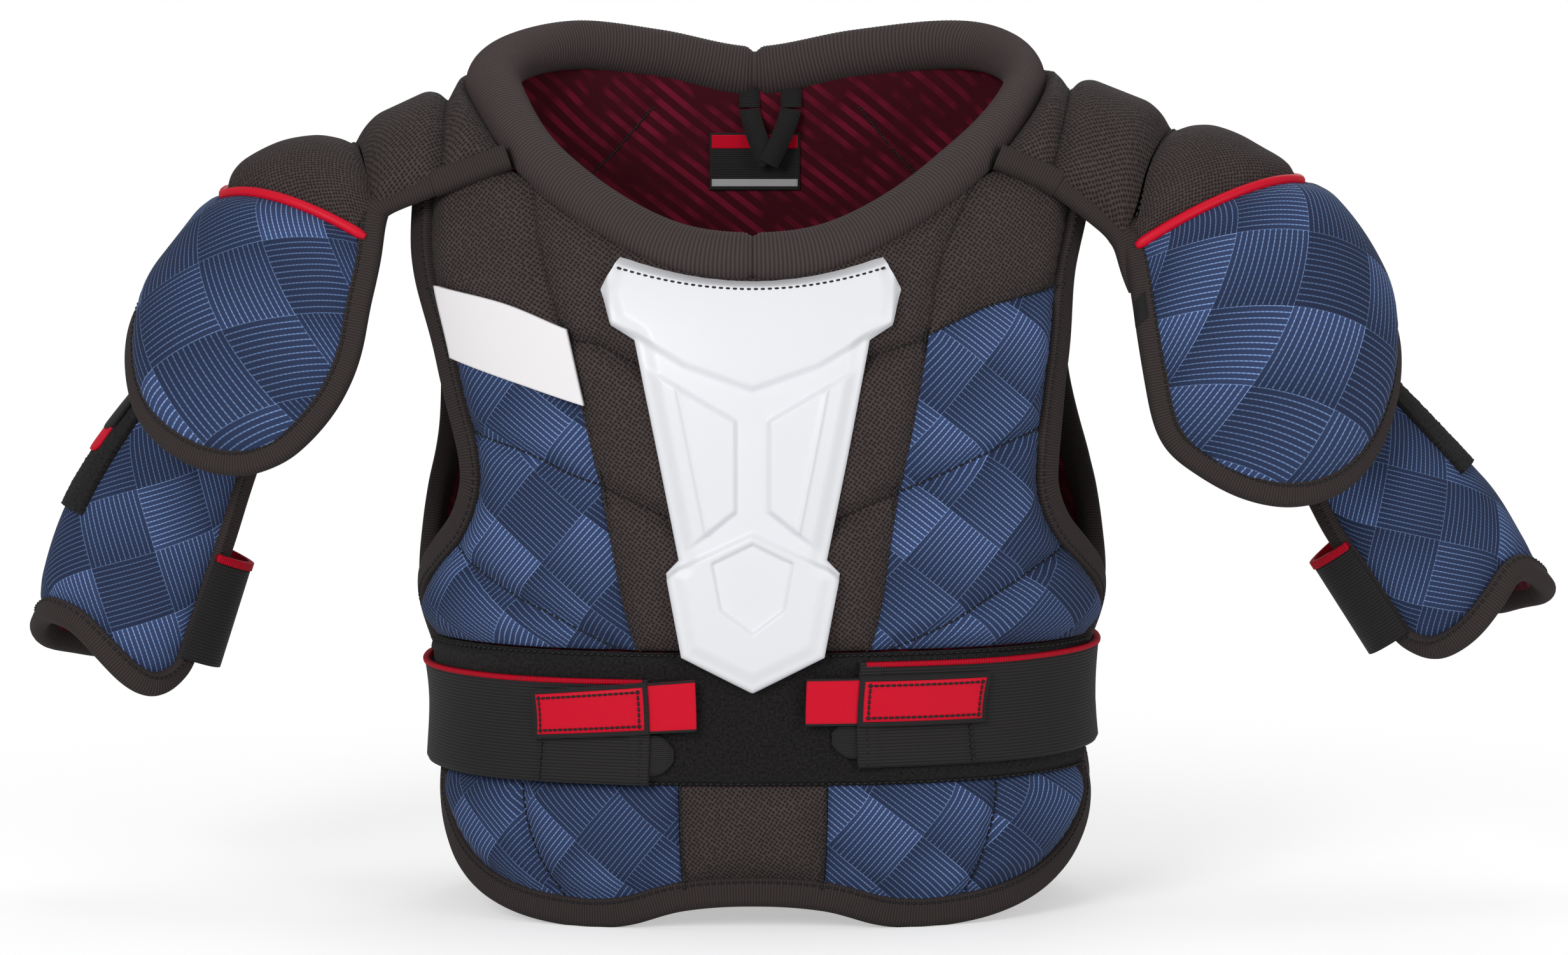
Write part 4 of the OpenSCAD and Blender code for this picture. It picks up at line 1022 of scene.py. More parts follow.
def torso_pad(foot, head, start, end, seams, sizes, step=1.7, turned=0.0, bound=()):
    """A quilted pad on the torso between four edges: its skin, and its seams as lines of stitches."""
    crown = sizes.crown / MM
    corner = np.array([foot[0], foot[-1], head[0]], float)
    corner = torso(corner[:, 0] + turned, corner[:, 1])
    u = np.linspace(0, 1, int(np.linalg.norm(corner[1] - corner[0]) / step) + 12)
    v = np.linspace(0, 1, int(np.linalg.norm(corner[2] - corner[0]) / step) + 12)
    q = patch(foot, head, start, end, u, v)
    a = q[..., 0] + turned
    z = q[..., 1]
    base = torso(a, z)
    reach = sizes.reach / MM
    lines = [(rim_line(base), sizes.edge / MM, 0.8, reach)]
    lines += [(drawn(s, 1.0, turned)[0], sizes.seam / MM, 0.8, sizes.seam_reach / MM) for s in seams]
    lines += [(drawn(s, 1.0, turned)[0], sizes.bound / MM, sizes.tape_leg / MM, reach) for s in bound]
    height = stuffed(base.reshape(-1, 3), lines, sizes, crown).reshape(a.shape)
    uv = np.stack([arc(a), z], -1)
    skin = solid(torso(a, z, GAP + height), torso(a, z, np.minimum(SEAT, GAP + height - 0.3)), uv)
    threads = []
    for s in seams:
        places, round_it = drawn(s, sizes.stitch / MM, turned)
        rise = stuffed(places, lines, sizes, crown)
        out = torso(round_it[:, 0], round_it[:, 1], 1) - places
        threads.append((torso(round_it[:, 0], round_it[:, 1], GAP + rise + 0.2), out))
    return skin, threads


def sewn(line, rise, sizes, turned=0.0):
    """A row of stitches along a line on the torso, at a distance outwards."""
    places, round_it = drawn(line, sizes.stitch / MM, turned)
    out = torso(round_it[:, 0], round_it[:, 1], 1) - places
    return places + out * rise, out


def crossed(lines):
    """Rows of stitches on the other side of the centre plane."""
    return [(p * [-1, 1, 1], n * [-1, 1, 1]) for p, n in lines]


class FrontPads(bpy.types.Operator):
    """Quilted pads of the front panel, with their stitches"""

    bl_idname = "pads.front_pads"
    bl_label = "Front pads"

    def execute(self, context):
        sizes = context.scene.pads_sizes
        mesh = finish_of("polyester_mesh")
        low = BAND[0]
        join = GAP + sizes.edge / MM + 0.3
        outline = FRONT_SIDE[::-1] + FRONT_HEM[-2::-1]
        seams = CHEST_SEAM["left"], CHEST_SEAM["right"]
        quilt = CHEST_QUILT["left"] + [flipped(s) for s in CHEST_QUILT["right"]]
        foot = [[-seams[1][0][0], 129], [0, 129], seams[0][0]]
        skin, threads = torso_pad(foot, both(CHEST_TOP), flipped(seams[1]), seams[0], quilt, sizes)
        piece("chest_pad", skin, mesh, "front", ["chest_pad"])
        skin, _ = torso_pad(
            both([[0, 20.4], [8.9, 18]]), [[-9.5, low], [9.5, low]], [[-8.9, 18], [-9.5, low]],
            [[8.9, 18], [9.5, low]], [], sizes, bound=[both(FRONT_HEM[:3])],
        )
        piece("belly_centre_pad", skin, mesh, "front", ["belly_centre_pad"])
        for side in ("left", "right"):
            seam = CHEST_SEAM[side]
            top = PRINT_TOP[side]
            rows = []
            skin, lines = torso_pad(
                [seam[0], RIB_SIDE[0]], top, seam[:3] + [top[0]], RIB_SIDE + [top[-1]],
                RIB_QUILT[side], sizes, bound=[outline],
            )
            rows += lines
            twin(side, "rib_pad", skin, "printed_knit", "front", "print")
            skin, _ = torso_pad(
                top, SHOULDER_TOP, [top[0]] + seam[4:], [top[-1], [61.4, 314], SHOULDER_TOP[-1]], [], sizes,
                bound=[outline],
            )
            twin(side, "shoulder_pad", skin, "polyester_mesh", "front", "mesh")
            skin, lines = torso_pad(
                [[9, 18], [18.2, 11.6], [28.5, 9.6], [39, 12.2], [48.6, 17.4], [56.6, 24.4], [63, 33.4]],
                [[9.6, low], [74.6, low]], [[9, 18], [9.6, low]], [[63, 33.4], [70.6, 48], [74.6, low]],
                [BELLY_QUILT[side]], sizes, bound=[outline],
            )
            rows += lines
            twin(side, "belly_pad", skin, "printed_knit", "front", "print")
            # rows that join the pads: beside the chest's seam, over the print, by the belly centre
            rows += [sewn([[p[0] - 0.7, p[1]] for p in seam], join, sizes)]
            rows += [sewn(top, join, sizes), sewn([[8.6, 20], [9.2, low]], join, sizes)]
            threads += rows if side == "left" else crossed(rows)
        piece("front_stitches", stitched(threads, sizes), finish_of("nylon_thread"), "front")
        return {"FINISHED"}


class Linings(bpy.types.Operator):
    """Foam-backed linings of the front and the back"""

    bl_idname = "pads.linings"
    bl_label = "Linings"

    def execute(self, context):
        sizes = context.scene.pads_sizes
        cloth = finish_of("lining_tricot")
        front_top = CHEST_TOP[:-1] + SHOULDER_TOP[:-1] + [SIDE_IN[-1]]
        back_top = BACK_TOP[:-1] + [BACK_SIDE_IN[-1]]
        seams = (LINING_SEAM, flipped(LINING_SEAM))
        even = np.linspace(0, 1, 130)
        for name, hem, head, edge, turned in (
            ("front_lining", both(HEM_IN), both(front_top), SIDE_IN, 0),
            ("back_lining", both(BACK_HEM_IN), both(back_top), BACK_SIDE_IN, 180),
        ):
            q = patch(hem, head, flipped(edge), edge, even, even)
            a = q[..., 0] + turned
            base = torso(a, q[..., 1])
            flat = base.reshape(-1, 3)
            far = nearest(flat, spaced(ring(base), 1.0))[0]
            rise = LINING_T - 1.2 + 1.8 * ease(far / 12)
            for line in seams if turned else ():
                far, number = nearest(flat, drawn(line, 1.0, turned)[0])
                gathers = 0.45 * np.sin(number * 0.8) * np.exp(-(((far - 4) / 3) ** 2))
                rise -= 2.9 * np.exp(-((far / 4) ** 2)) - gathers
            inside = torso(a, q[..., 1], -rise.reshape(a.shape))
            uv = np.stack([arc(a), q[..., 1]], -1)
            body = "back" if turned else "front"
            piece(name, solid(base, inside, uv), cloth, body, [name])
        threads = []
        for line in seams:
            places, round_it = drawn(line, sizes.stitch / MM / 2, 180)
            out = torso(round_it[:, 0], round_it[:, 1], 1) - places
            threads.append((places - out * (LINING_T - 2.0), -out))
        piece("lining_stitches", stitched(threads, sizes), finish_of("nylon_thread"), "back")
        return {"FINISHED"}


class BackPads(bpy.types.Operator):
    """Quilted pads and the spine guard of the back panel"""

    bl_idname = "pads.back_pads"
    bl_label = "Back pads"

    def execute(self, context):
        sizes = context.scene.pads_sizes
        outline = BACK_SIDE[::-1] + BACK_HEM[-2::-1]
        middle = [[20.2, 12.4], [20.8, 120], [21.9, 240], [20.8, 386]]
        cross = [[[-22, z], [0, z - 12], [22, z]] for z in (95, 185, 275)]
        skin, threads = torso_pad(
            both([[0, 20], [10, 16.4], [20.2, 12.4]]), both([[0, 378], [10, 382], [20.8, 386]]),
            flipped(middle), middle, cross, sizes, turned=180, bound=[both(BACK_HEM[:4])],
        )
        mesh = finish_of("polyester_mesh")
        piece("back_centre_pad", skin, mesh, "back", ["back_centre_pad"])
        quilt = [
            [[20, 112], [40, 124], [60, 130], [82, 128]],
            [[21, 232], [36, 240], [50, 240], [64, 231]],
        ]
        skin, lines = torso_pad(
            [[20.6, 12.2], [32, 10.8], [44, 14.2], [58, 25.2], WING_IN[0]],
            [[21, 386], [32, 390], [47, 364]],
            [[20.6, 12.2], [21, 120], [22.1, 240], [21, 386]], WING_IN, quilt, sizes,
            turned=180, bound=[outline],
        )
        # counted from the back centre, positive degrees are on the wearer's right
        printed = finish_of("printed_knit")
        piece("back_right_pad", skin, printed, "back", ["back_right_pad"])
        piece("back_left_pad", mirrored(skin), printed, "back", ["back_left_pad"])
        lines += [sewn(middle, GAP + sizes.edge / MM + 0.3, sizes, 180)]
        threads += lines + crossed(lines)
        piece("back_stitches", stitched(threads, sizes), finish_of("nylon_thread"), "back")
        # the spine guard: a plate that narrows at its ends, with grooves across it
        foot = 70
        tall = 260
        pitch = 43
        c, f = np.meshgrid(np.linspace(-1, 1, 60), np.linspace(0, 1, 170))
        z = foot + tall * f
        narrow = 0.35 * np.maximum(0, 1 - f / 0.1) ** 2 + 0.3 * np.maximum(0, (f - 0.92) / 0.08) ** 2
        a = 180 + c * (9 + 4 * f) * (1 - narrow)
        near = np.minimum(1 - np.abs(c), np.minimum(f, 1 - f) * 8)
        groove = ease(1 - np.abs((z - foot) % pitch - 21) / 2.6) * ease((near - 0.2) / 0.2)
        plate = 1.1 + 1.9 * ease(near / 0.22) - 0.9 * groove
        skin = strip(a, z, GUARD_D - 2, GUARD_D + plate)
        piece("spine_guard", skin, finish_of("black_polyethylene"), "back", ["spine_guard"])
        return {"FINISHED"}


class Bindings(bpy.types.Operator):
    """Edge bindings of the front and the back panel"""

    bl_idname = "pads.bindings"
    bl_label = "Bindings"

    def execute(self, context):
        sizes = context.scene.pads_sizes
        half = sizes.tape / MM
        for body, side, hem, turned in (
            ("front", FRONT_SIDE, FRONT_HEM, 0),
            ("back", BACK_SIDE, BACK_HEM, 180),
        ):
            name = body + "_binding"
            edge = side[::-1] + hem[-2::-1]
            places, q = drawn(edge + flipped(edge)[-2::-1], 1.5, turned)
            out = torso(q[:, 0], q[:, 1], 1) - places
            line = np.concatenate([places, out], 1)
            skin, threads = bound_edge(line, half, sizes.tape_leg / MM, half, -1, sizes)
            piece(name, skin, finish_of("ribbed_binding"), body, [name])
            piece(name + "_stitches", threads, finish_of("nylon_thread"), body)
        return {"FINISHED"}


class NeckRoll(bpy.types.Operator):
    """Ribbed neck roll, sewn from two halves"""

    bl_idname = "pads.neck_roll"
    bl_label = "Neck roll"

    def execute(self, context):
        sizes = context.scene.pads_sizes
        pitch = sizes.rib / MM
        line = spaced(neck(np.linspace(0, 9, 900)), pitch / 5)
        run = np.arange(len(line)) * pitch / 5
        rest = run[-1] - run
        radius = sizes.roll / MM
        ribs = np.abs(np.sin(np.pi * run / pitch)) ** 0.8 * sizes.rib_depth / MM
        rear = 0.9 * ease((run - 200) / 120)
        lumps = 0.14 * np.sin(run / 13) + 0.1 * np.sin(run / 29 + 1)
        ends = 1.6 * np.exp(-((run / 2.2) ** 2)) + 2.6 * np.exp(-((rest / 3.2) ** 2))
        swell = (radius + ribs + lumps + rear - ends) / radius
        out = line * [1, 1, 0]
        skin = swept(line, out, circle(radius, 40, 90), swell)
        for side in ("left", "right"):
            name = side + "_neck_roll"
            nodes = ["collar_front_" + side, "collar_rear_" + side]
            made = piece(name, handed(skin, side), finish_of("rib_knit"), None, nodes)
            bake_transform(made)
        return {"FINISHED"}


def inside_by(x, z, corners):
    """How far points lie inside a polygon, negative outside."""
    far = np.full(x.shape, 1e9)
    held = np.zeros(x.shape, bool)
    for (x0, z0), (x1, z1) in zip(corners, corners[1:] + corners[:1]):
        ex = x1 - x0
        ez = z1 - z0
        t = np.clip(((x - x0) * ex + (z - z0) * ez) / (ex * ex + ez * ez), 0, 1)
        far = np.minimum(far, np.hypot(x - x0 - t * ex, z - z0 - t * ez))
        if z0 != z1:
            held ^= ((z0 > z) != (z1 > z)) & (x < ex * (z - z0) / ez + x0)
    return np.where(held, far, -far)


def turn_to(x, z, d):
    """Degrees round at which the torso's surface, d outwards, lies at x."""
    low = np.full(np.shape(x), -80.0)
    high = -low
    for _ in range(26):
        middle = (low + high) / 2
        over = torso(middle, z, d)[..., 0] > x
        high = np.where(over, middle, high)
        low = np.where(over, low, middle)
    return (low + high) / 2


def guard_height(h, u):
    """Height of a place on the sternum guard, from its height over the tip and its share of the half
    width: the top dips at the centre, along the neck roll."""
    return GUARD_TIP + h - 11.5 * (1 - u * u) * (np.maximum(0, h - 120) / 77) ** 2


class SternumGuard(bpy.types.Operator):
    """Moulded sternum guard with its raised fields"""

    bl_idname = "pads.sternum_guard"
    bl_label = "Sternum guard"

    def execute(self, context):
        sizes = context.scene.pads_sizes
        # half widths by the height over the tip, and the rows of the grid between two heights
        rows = [(0, 0.8), (16, 32), (54, 39), (60, 33.3), (158.6, 52.8), (165, 63), (181, 68)]
        rows += [(191, 61.5), (197, 59)]
        parts = [(0, 16, 30), (16, 54, 46), (54, 60, 12), (60, 158, 110), (158, 165, 14), (165, 197, 50)]
        h = np.unique(np.concatenate([np.linspace(*p) for p in parts]))
        u = np.sin(np.pi / 2 * np.linspace(-1, 1, 171))
        u, h = np.meshgrid(u, h)
        x = u * np.interp(h, [r[0] for r in rows], [r[1] for r in rows])
        z = guard_height(h, u)
        # the outline and the raised fields, in x and z
        outline = [(0.1, 111), (32, 127), (39, 165), (33.3, 171), (52.8, 269.6), (63, 276), (67.5, 292)]
        outline += [(58.5, 322)]
        outline = outline + [(-a, b) for a, b in outline[::-1]]
        rim = inside_by(x, z, outline)
        shield = [(0, 246), (31, 257), (52.5, 270), (66, 276), (70, 340)]
        shield += [(-a, b) for a, b in shield[:0:-1]]
        boss = [(0, 184.5), (34, 168.5), (44, 160), (36, 120), (0, 105)]
        boss += [(-a, b) for a, b in boss[3:0:-1]]
        dish = [(0, 180), (19, 170.5), (15, 148.5), (0, 137), (-15, 148.5), (-19, 170.5)]
        rise = 3.2 * np.sqrt(1 - (1 - np.clip((rim + 0.3) / 3.2, 0, 1)) ** 2)
        rise += 1.7 * ease((rim - 2.5) / 7)
        rise += 3.0 * ease(inside_by(x, z, shield) / 4.4)
        rise += 2.6 * ease(inside_by(x, z, boss) / 2.6)
        rise -= 2.3 * ease(inside_by(x, z, dish) / 1.7)
        for s in (1, -1):
            panel = [(51.5 * s, 261), (6.6 * s, 234.5), (6.6 * s, 193), (34 * s, 171)]
            past = s * x - 21.8 - 0.195 * (z - 192)
            fall = 0.23 * np.maximum(0, past)
            bead = 0.9 * np.exp(-(past**2))
            rise += np.maximum(0, 3.1 - fall + bead) * ease(inside_by(x, z, panel) / 2.0)
        tuck = ease((h - 192) / 5)
        rise *= 1 - 0.55 * tuck
        d = GUARD_D - 8.5 * tuck
        a = turn_to(x, z, GUARD_D)
        uv = np.stack([x, z], -1)
        skin = solid(torso(a, z, d + rise), torso(a, z, d - 1.2), uv)
        piece("sternum_guard", skin, finish_of("white_polyethylene"), "front", ["sternum_guard"])
        # the row of stitches that holds its tucked edge
        u = np.linspace(-0.96, 0.96, 300)
        z = guard_height(191.4, u)
        row = row_on_torso(turn_to(u * 61, z, GUARD_D), z, GUARD_D + 7.65, sizes.stitch / MM)
        piece("guard_stitches", stitched([row], sizes), finish_of("nylon_thread"), "front")
        return {"FINISHED"}


def strip(a, z, low, high):
    """A strip on the torso between two distances, from grids of degrees and heights."""
    uv = np.stack([arc(a), z], -1)
    return solid(torso(a, z, high), torso(a, z, low), uv)


def drawn_in(a, z):
    """How far a strap pulled tight lies inside the torso's flare, at degrees round and heights."""
    flare = torso(90 + 0 * z, z)[..., 0] - torso(90 + 0 * z, 98 + 0 * z)[..., 0]
    return np.where(a > 0, 0.7, 0.35) * ease((np.abs(a) - 35) / 40) * np.maximum(0, flare)


class BellyBand(bpy.types.Operator):
    """Loop band across the belly"""

    bl_idname = "pads.belly_band"
    bl_label = "Belly band"

    def execute(self, context):
        sizes = context.scene.pads_sizes
        c, f = np.meshgrid(np.linspace(-1, 1, 300), np.linspace(0, 1, 62))
        z = BAND[0] + 0.2 + (BAND[1] - BAND[0] - 0.4) * f
        a = c * (74.6 + 1.4 * f)
        near = np.minimum(f, 1 - f) * (BAND[1] - BAND[0])
        chance = np.random.default_rng(7)
        fuzz = chance.normal(0, 0.22, a.shape)
        thick = np.maximum(1.2, 4.2 + 4.4 * ease(near / 5) - drawn_in(a, z)) + fuzz
        skin = strip(a, z, SEAT, GAP + thick)
        piece("loop_band", skin, finish_of("nylon_loop"), "front", ["loop_band"])
        threads = []
        for level in (BAND[0] + 1.2, BAND[1] - 1.2):
            line = [[a, level] for a in (-74, -36, 0, 36, 74)]
            threads.append(sewn(line, GAP + 5.6, sizes))
        piece("band_stitches", stitched(threads, sizes), finish_of("nylon_thread"), "front")
        return {"FINISHED"}


def tab_place(side, across, up, margin=0.0):
    """Degrees and heights on the label of a pull tab, at shares across and up it. A margin makes it
    wider than the ribbon."""
    (a0, low0, top0), (a1, low1, top1) = PULL_TAB[side]
    a = STRAP_FROM + (a1 - STRAP_FROM) * across
    k = (a - a0) / (a1 - a0)
    low = low0 + (low1 - low0) * k - margin
    top = top0 + (top1 - top0) * k + margin
    return a, low + (top - low) * up


def pull_tab(side):
    """The ribbon of a pull tab and the bare label sewn over its root. Returns the label's stitches."""
    body = side + "_belly_strap"
    (a0, low0, top0), (a1, low1, top1) = PULL_TAB[side]
    a1 = a1 - 1.5
    c, f = np.meshgrid(np.linspace(0, 1, 70), np.linspace(0, 1, 30))
    a = a0 + (a1 - a0) * c
    low = low0 + (low1 - low0) * c
    top = top0 + (top1 - top0) * c
    d = STRAP_D + STRAP_T + 0.5 + 0.8 * ease((15.6 - a) / 3) + 0.25 * np.sin(a / 3)
    skin = strip(a, low + (top - low) * f, d, d + 1.0)
    ribbon = twin(side, "pull_tab", skin, "red_satin", body, "red")
    rims = [strip(a, low + (top - low) * (t + 0.045 * f), d + 0.1, d + 1.35) for t in (0.0, 0.955)]
    rim = twin(side, "tab_rims", joined(rims), "black_ribbon", body)
    d = STRAP_D + STRAP_T + 1.7
    a, z = tab_place(side, c, f, 0.4)
    twin(side, "tab_backing", strip(a, z, d, d + 0.9), "black_ribbon", body)
    a, z = tab_place(side, 0.035 + 0.93 * c, 0.09 + 0.82 * f, 0.4)
    near = np.minimum(np.minimum(c, 1 - c) * 60, np.minimum(f, 1 - f) * 21)
    skin = strip(a, z, d + 0.5, d + 1.1 + 0.5 * ease(near / 2))
    twin(side, "tab_label", skin, "red_satin", body)
    float(arc(a1) - arc(a0)) * MM
    corners = [(0.07, 0.16), (0.93, 0.16), (0.93, 0.84), (0.07, 0.84), (0.07, 0.16)]
    t = np.linspace(0, 1, 60)
    rows = []
    for p, q in zip(corners, corners[1:]):
        a, z = tab_place(side, p[0] + (q[0] - p[0]) * t, p[1] + (q[1] - p[1]) * t)
        rows.append(row_on_torso(a, z, d + 1.75, 2.6))
    return rows


class BellyStraps(bpy.types.Operator):
    """Elastic belly straps with their woven edge, hook tips and bare pull tabs"""

    bl_idname = "pads.belly_straps"
    bl_label = "Belly straps"

    def execute(self, context):
        sizes = context.scene.pads_sizes
        reach = float(arc(STRAP_TO) - arc(STRAP_FROM)) * MM
        for side in ("left", "right"):
            body = side + "_belly_strap"
            low = STRAP_LOW[side]
            climb = STRAP_CLIMB[side] / (STRAP_TO - STRAP_FROM)
            c, f = np.meshgrid(np.linspace(STRAP_FROM, STRAP_TO, 220), np.linspace(0, 1, 26))
            z = low + climb * (c - STRAP_FROM) + STRAP_W * f
            near = np.minimum(f, 1 - f) * STRAP_W
            fold = 0.9 * ease((18.5 - c) / 1.2)
            wave = 0.35 * np.sin(c / 6.3 + 2 * f)
            high = STRAP_D + STRAP_T * (0.55 + 0.45 * ease(near / 1.6)) + fold + wave
            pull = drawn_in(c * SIGN[side], z)
            skin = strip(c, z, STRAP_D + wave - pull, high - pull)
            strap = twin(side, "strap", skin, "woven_elastic", body, "elastic")
            # the red edge woven along its top
            c, f = np.meshgrid(np.linspace(STRAP_FROM + 0.9, STRAP_TO, 220), np.linspace(0, 1, 9))
            z = low + climb * (c - STRAP_FROM) + STRAP_W - 2.0 + 2.4 * f
            wave = 0.35 * np.sin(c / 6.3 + 2) - drawn_in(c * SIGN[side], z)
            skin = strip(c, z, STRAP_D + wave, STRAP_D + STRAP_T + wave + 0.8 * lobe(f))
            edge = twin(side, "strap_edge", skin, "red_selvedge", body)
            # the hook tip, which narrows towards its end
            c, f = np.meshgrid(np.linspace(0, 1, 24), np.linspace(0, 1, 24))
            bottom = low + 4 + 7 * (1 - c) ** 3
            top = low + 23 - 7 * (1 - c) ** 3
            near = np.minimum(np.minimum(f, 1 - f) * 19, c * 6)
            z = bottom + (top - bottom) * f
            skin = strip(10.3 + 4.2 * c, z, STRAP_D + 0.1, STRAP_D + 0.8 + 1.3 * ease(near / 1.5))
            twin(side, "hook_tip", skin, "black_ribbon", body, "tape")
            rows = pull_tab(side)
            for turn in STRAP_ROWS:
                z = np.linspace(low + 2, low + 20, 40)
                a = np.full_like(z, turn)
                rows.append(row_on_torso(a, z, STRAP_D + STRAP_T + 0.75, sizes.stitch / MM))
            twin(side, "strap_stitches", stitched(rows, sizes), "nylon_thread", body)
        return {"FINISHED"}


def saddle(first, last, normals, low, crown, sizes):
    """A pad over the shoulder between two edges, thick over its middle."""
    v = np.linspace(0, 1, 40)
    base = first[None] + (last - first)[None] * v[:, None, None]
    lines = [(rim_line(base), sizes.edge / MM, 0.5, 14.0)]
    height = stuffed(base.reshape(-1, 3), lines, sizes, crown).reshape(base.shape[:2])
    up = np.broadcast_to(normals[None], base.shape)
    wide = np.concatenate([[0], np.cumsum(np.linalg.norm(np.diff(first, axis=0), axis=1))])
    uv = np.stack([np.broadcast_to(wide, base.shape[:2]), base[..., 0]], -1)
    return solid(base + up * (height + low)[..., None], base, uv)


def softened(line, passes):
    """A line with its corners turned in a curve, as a tape is."""
    line = line.copy()
    for _ in range(passes):
        line[1:-1] = (line[:-2] + 2 * line[1:-1] + line[2:]) / 4
    return line


class Yokes(bpy.types.Operator):
    """Yokes and the bridge pads between them and the caps, with the tape along their front edge"""

    bl_idname = "pads.yokes"
    bl_label = "Yokes and bridges"

    def execute(self, context):
        sizes = context.scene.pads_sizes
        s = np.linspace(-1, 1, 90)
        normals = arch(s)[1]
        for side in ("left", "right"):
            arm = ARM[side]
            middle = yoke_crease(s, side)
            skin = saddle(middle, yoke_in(s), normals, 0.4, 12.5, sizes)
            twin(side, "yoke", skin, "polyester_mesh", "back", "mesh")
            root = float(cap_front(0.5, side))
            turn = root + (1 - root) * (s + 1) / 2
            root_t = cap_crease(turn, side)
            crease = cap_at(turn, root_t, 4.5 + cap_puff(turn, root_t, side), arm)
            skin = saddle(crease, middle, normals, 0.6, 13.0, sizes)
            made = twin(side, "bridge", skin, "polyester_mesh", None, "mesh")
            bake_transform(made)
            # the tape over the front edges: from the neck roll over the yoke, then on to the cap
            start = float(cap_crease(root, side)) + 0.25
            end = cap_at(cap_front(start + 0.7, side), start + 0.7, 4, arm)
            lift = normals[0] * 4.6
            corners = [yoke_in(-1.0) + lift, middle[0] + lift, crease[0] + lift * 0.3]
            corners += [cap_at(cap_front(start, side), start, 5, arm), end]
            legs = [np.linspace(a, b, 20)[:-1] for a, b in zip(corners, corners[1:])]
            line = np.concatenate(legs + [[end]])
            line = softened(spaced(line, 1.2), 60)
            lean = np.linspace(0, 1, len(line))[:, None] * [0.25, 0, 0.1]
            out = np.broadcast_to(normals[0], line.shape) + lean
            split = int(np.argmin(np.abs(line[:, 0] - middle[0, 0] - 1)))
            section = tape_section(4.6, 6.4, 4.2, 1)
            skin = swept(line[: split + 3], out[: split + 3], np.array(section) * [1.12, 1.1])
            twin(side, "yoke_tab", skin, "ribbed_binding", "back", "tape")
            thin = 1 - 0.85 * np.clip(np.linspace(-1.6, 1, len(line) - split + 3), 0, 1)
            skin = swept(line[split - 3 :], out[split - 3 :], section, thin)
            made = twin(side, "bridge_tape", skin, "ribbed_binding", None)
            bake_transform(made)
            rows = []
            for edge, shift, over in ((middle, 1.2, 0.8), (crease, -1.4, 0.2)):
                rise = sizes.edge / MM + over
                row = np.concatenate([edge + normals * rise - [shift, 0, 0], normals], 1)[5:]
                row = spaced(row, sizes.stitch / MM)
                rows.append((row[:, :3], row[:, 3:]))
            twin(side, "yoke_stitches", stitched(rows[:1], sizes), "nylon_thread", "back")
            made = twin(side, "bridge_stitches", stitched(rows[1:], sizes), "nylon_thread", None)
            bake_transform(made)
        return {"FINISHED"}


def cap_span(c, t, side, margin):
    """Turn of a cap's surface at a share c from edge to edge, -1 to 1, inside its edges by a margin."""
    wide = along(CAP_W, t)[..., 0] + np.linalg.norm(along(CAP_LINE, t) - along(CAP_EDGE, t), axis=-1)
    inset = margin / (wide / 2 * math.radians(CAP_TURN))
    low = cap_front(t, side) + inset
    return low + (1 - inset - low) * (np.asarray(c) + 1) / 2


def cap_pad(side, start, end, sizes, crown, rows):
    """A pad of a shoulder cap between two lines across it."""
    arm = ARM[side]
    c, v = np.meshgrid(np.linspace(-1, 1, 96), np.linspace(1, 0, rows))
    s = cap_span(c, start(c) + (end(c) - start(c)) * v, side, 4.2)
    t = start(s) + (end(s) - start(s)) * v
    base = cap_at(s, t, CAP_D, arm)
    lines = [(rim_line(base), sizes.edge / MM - 0.6, 0.8, 16.0)]
    height = stuffed(base.reshape(-1, 3), lines, sizes, crown).reshape(s.shape) + cap_puff(s, t, side)
    uv = np.stack([s * 98, -t * 36], -1)
    return solid(cap_at(s, t, CAP_D + height, arm), cap_at(s, t, CAP_D - 1.5, arm), uv)


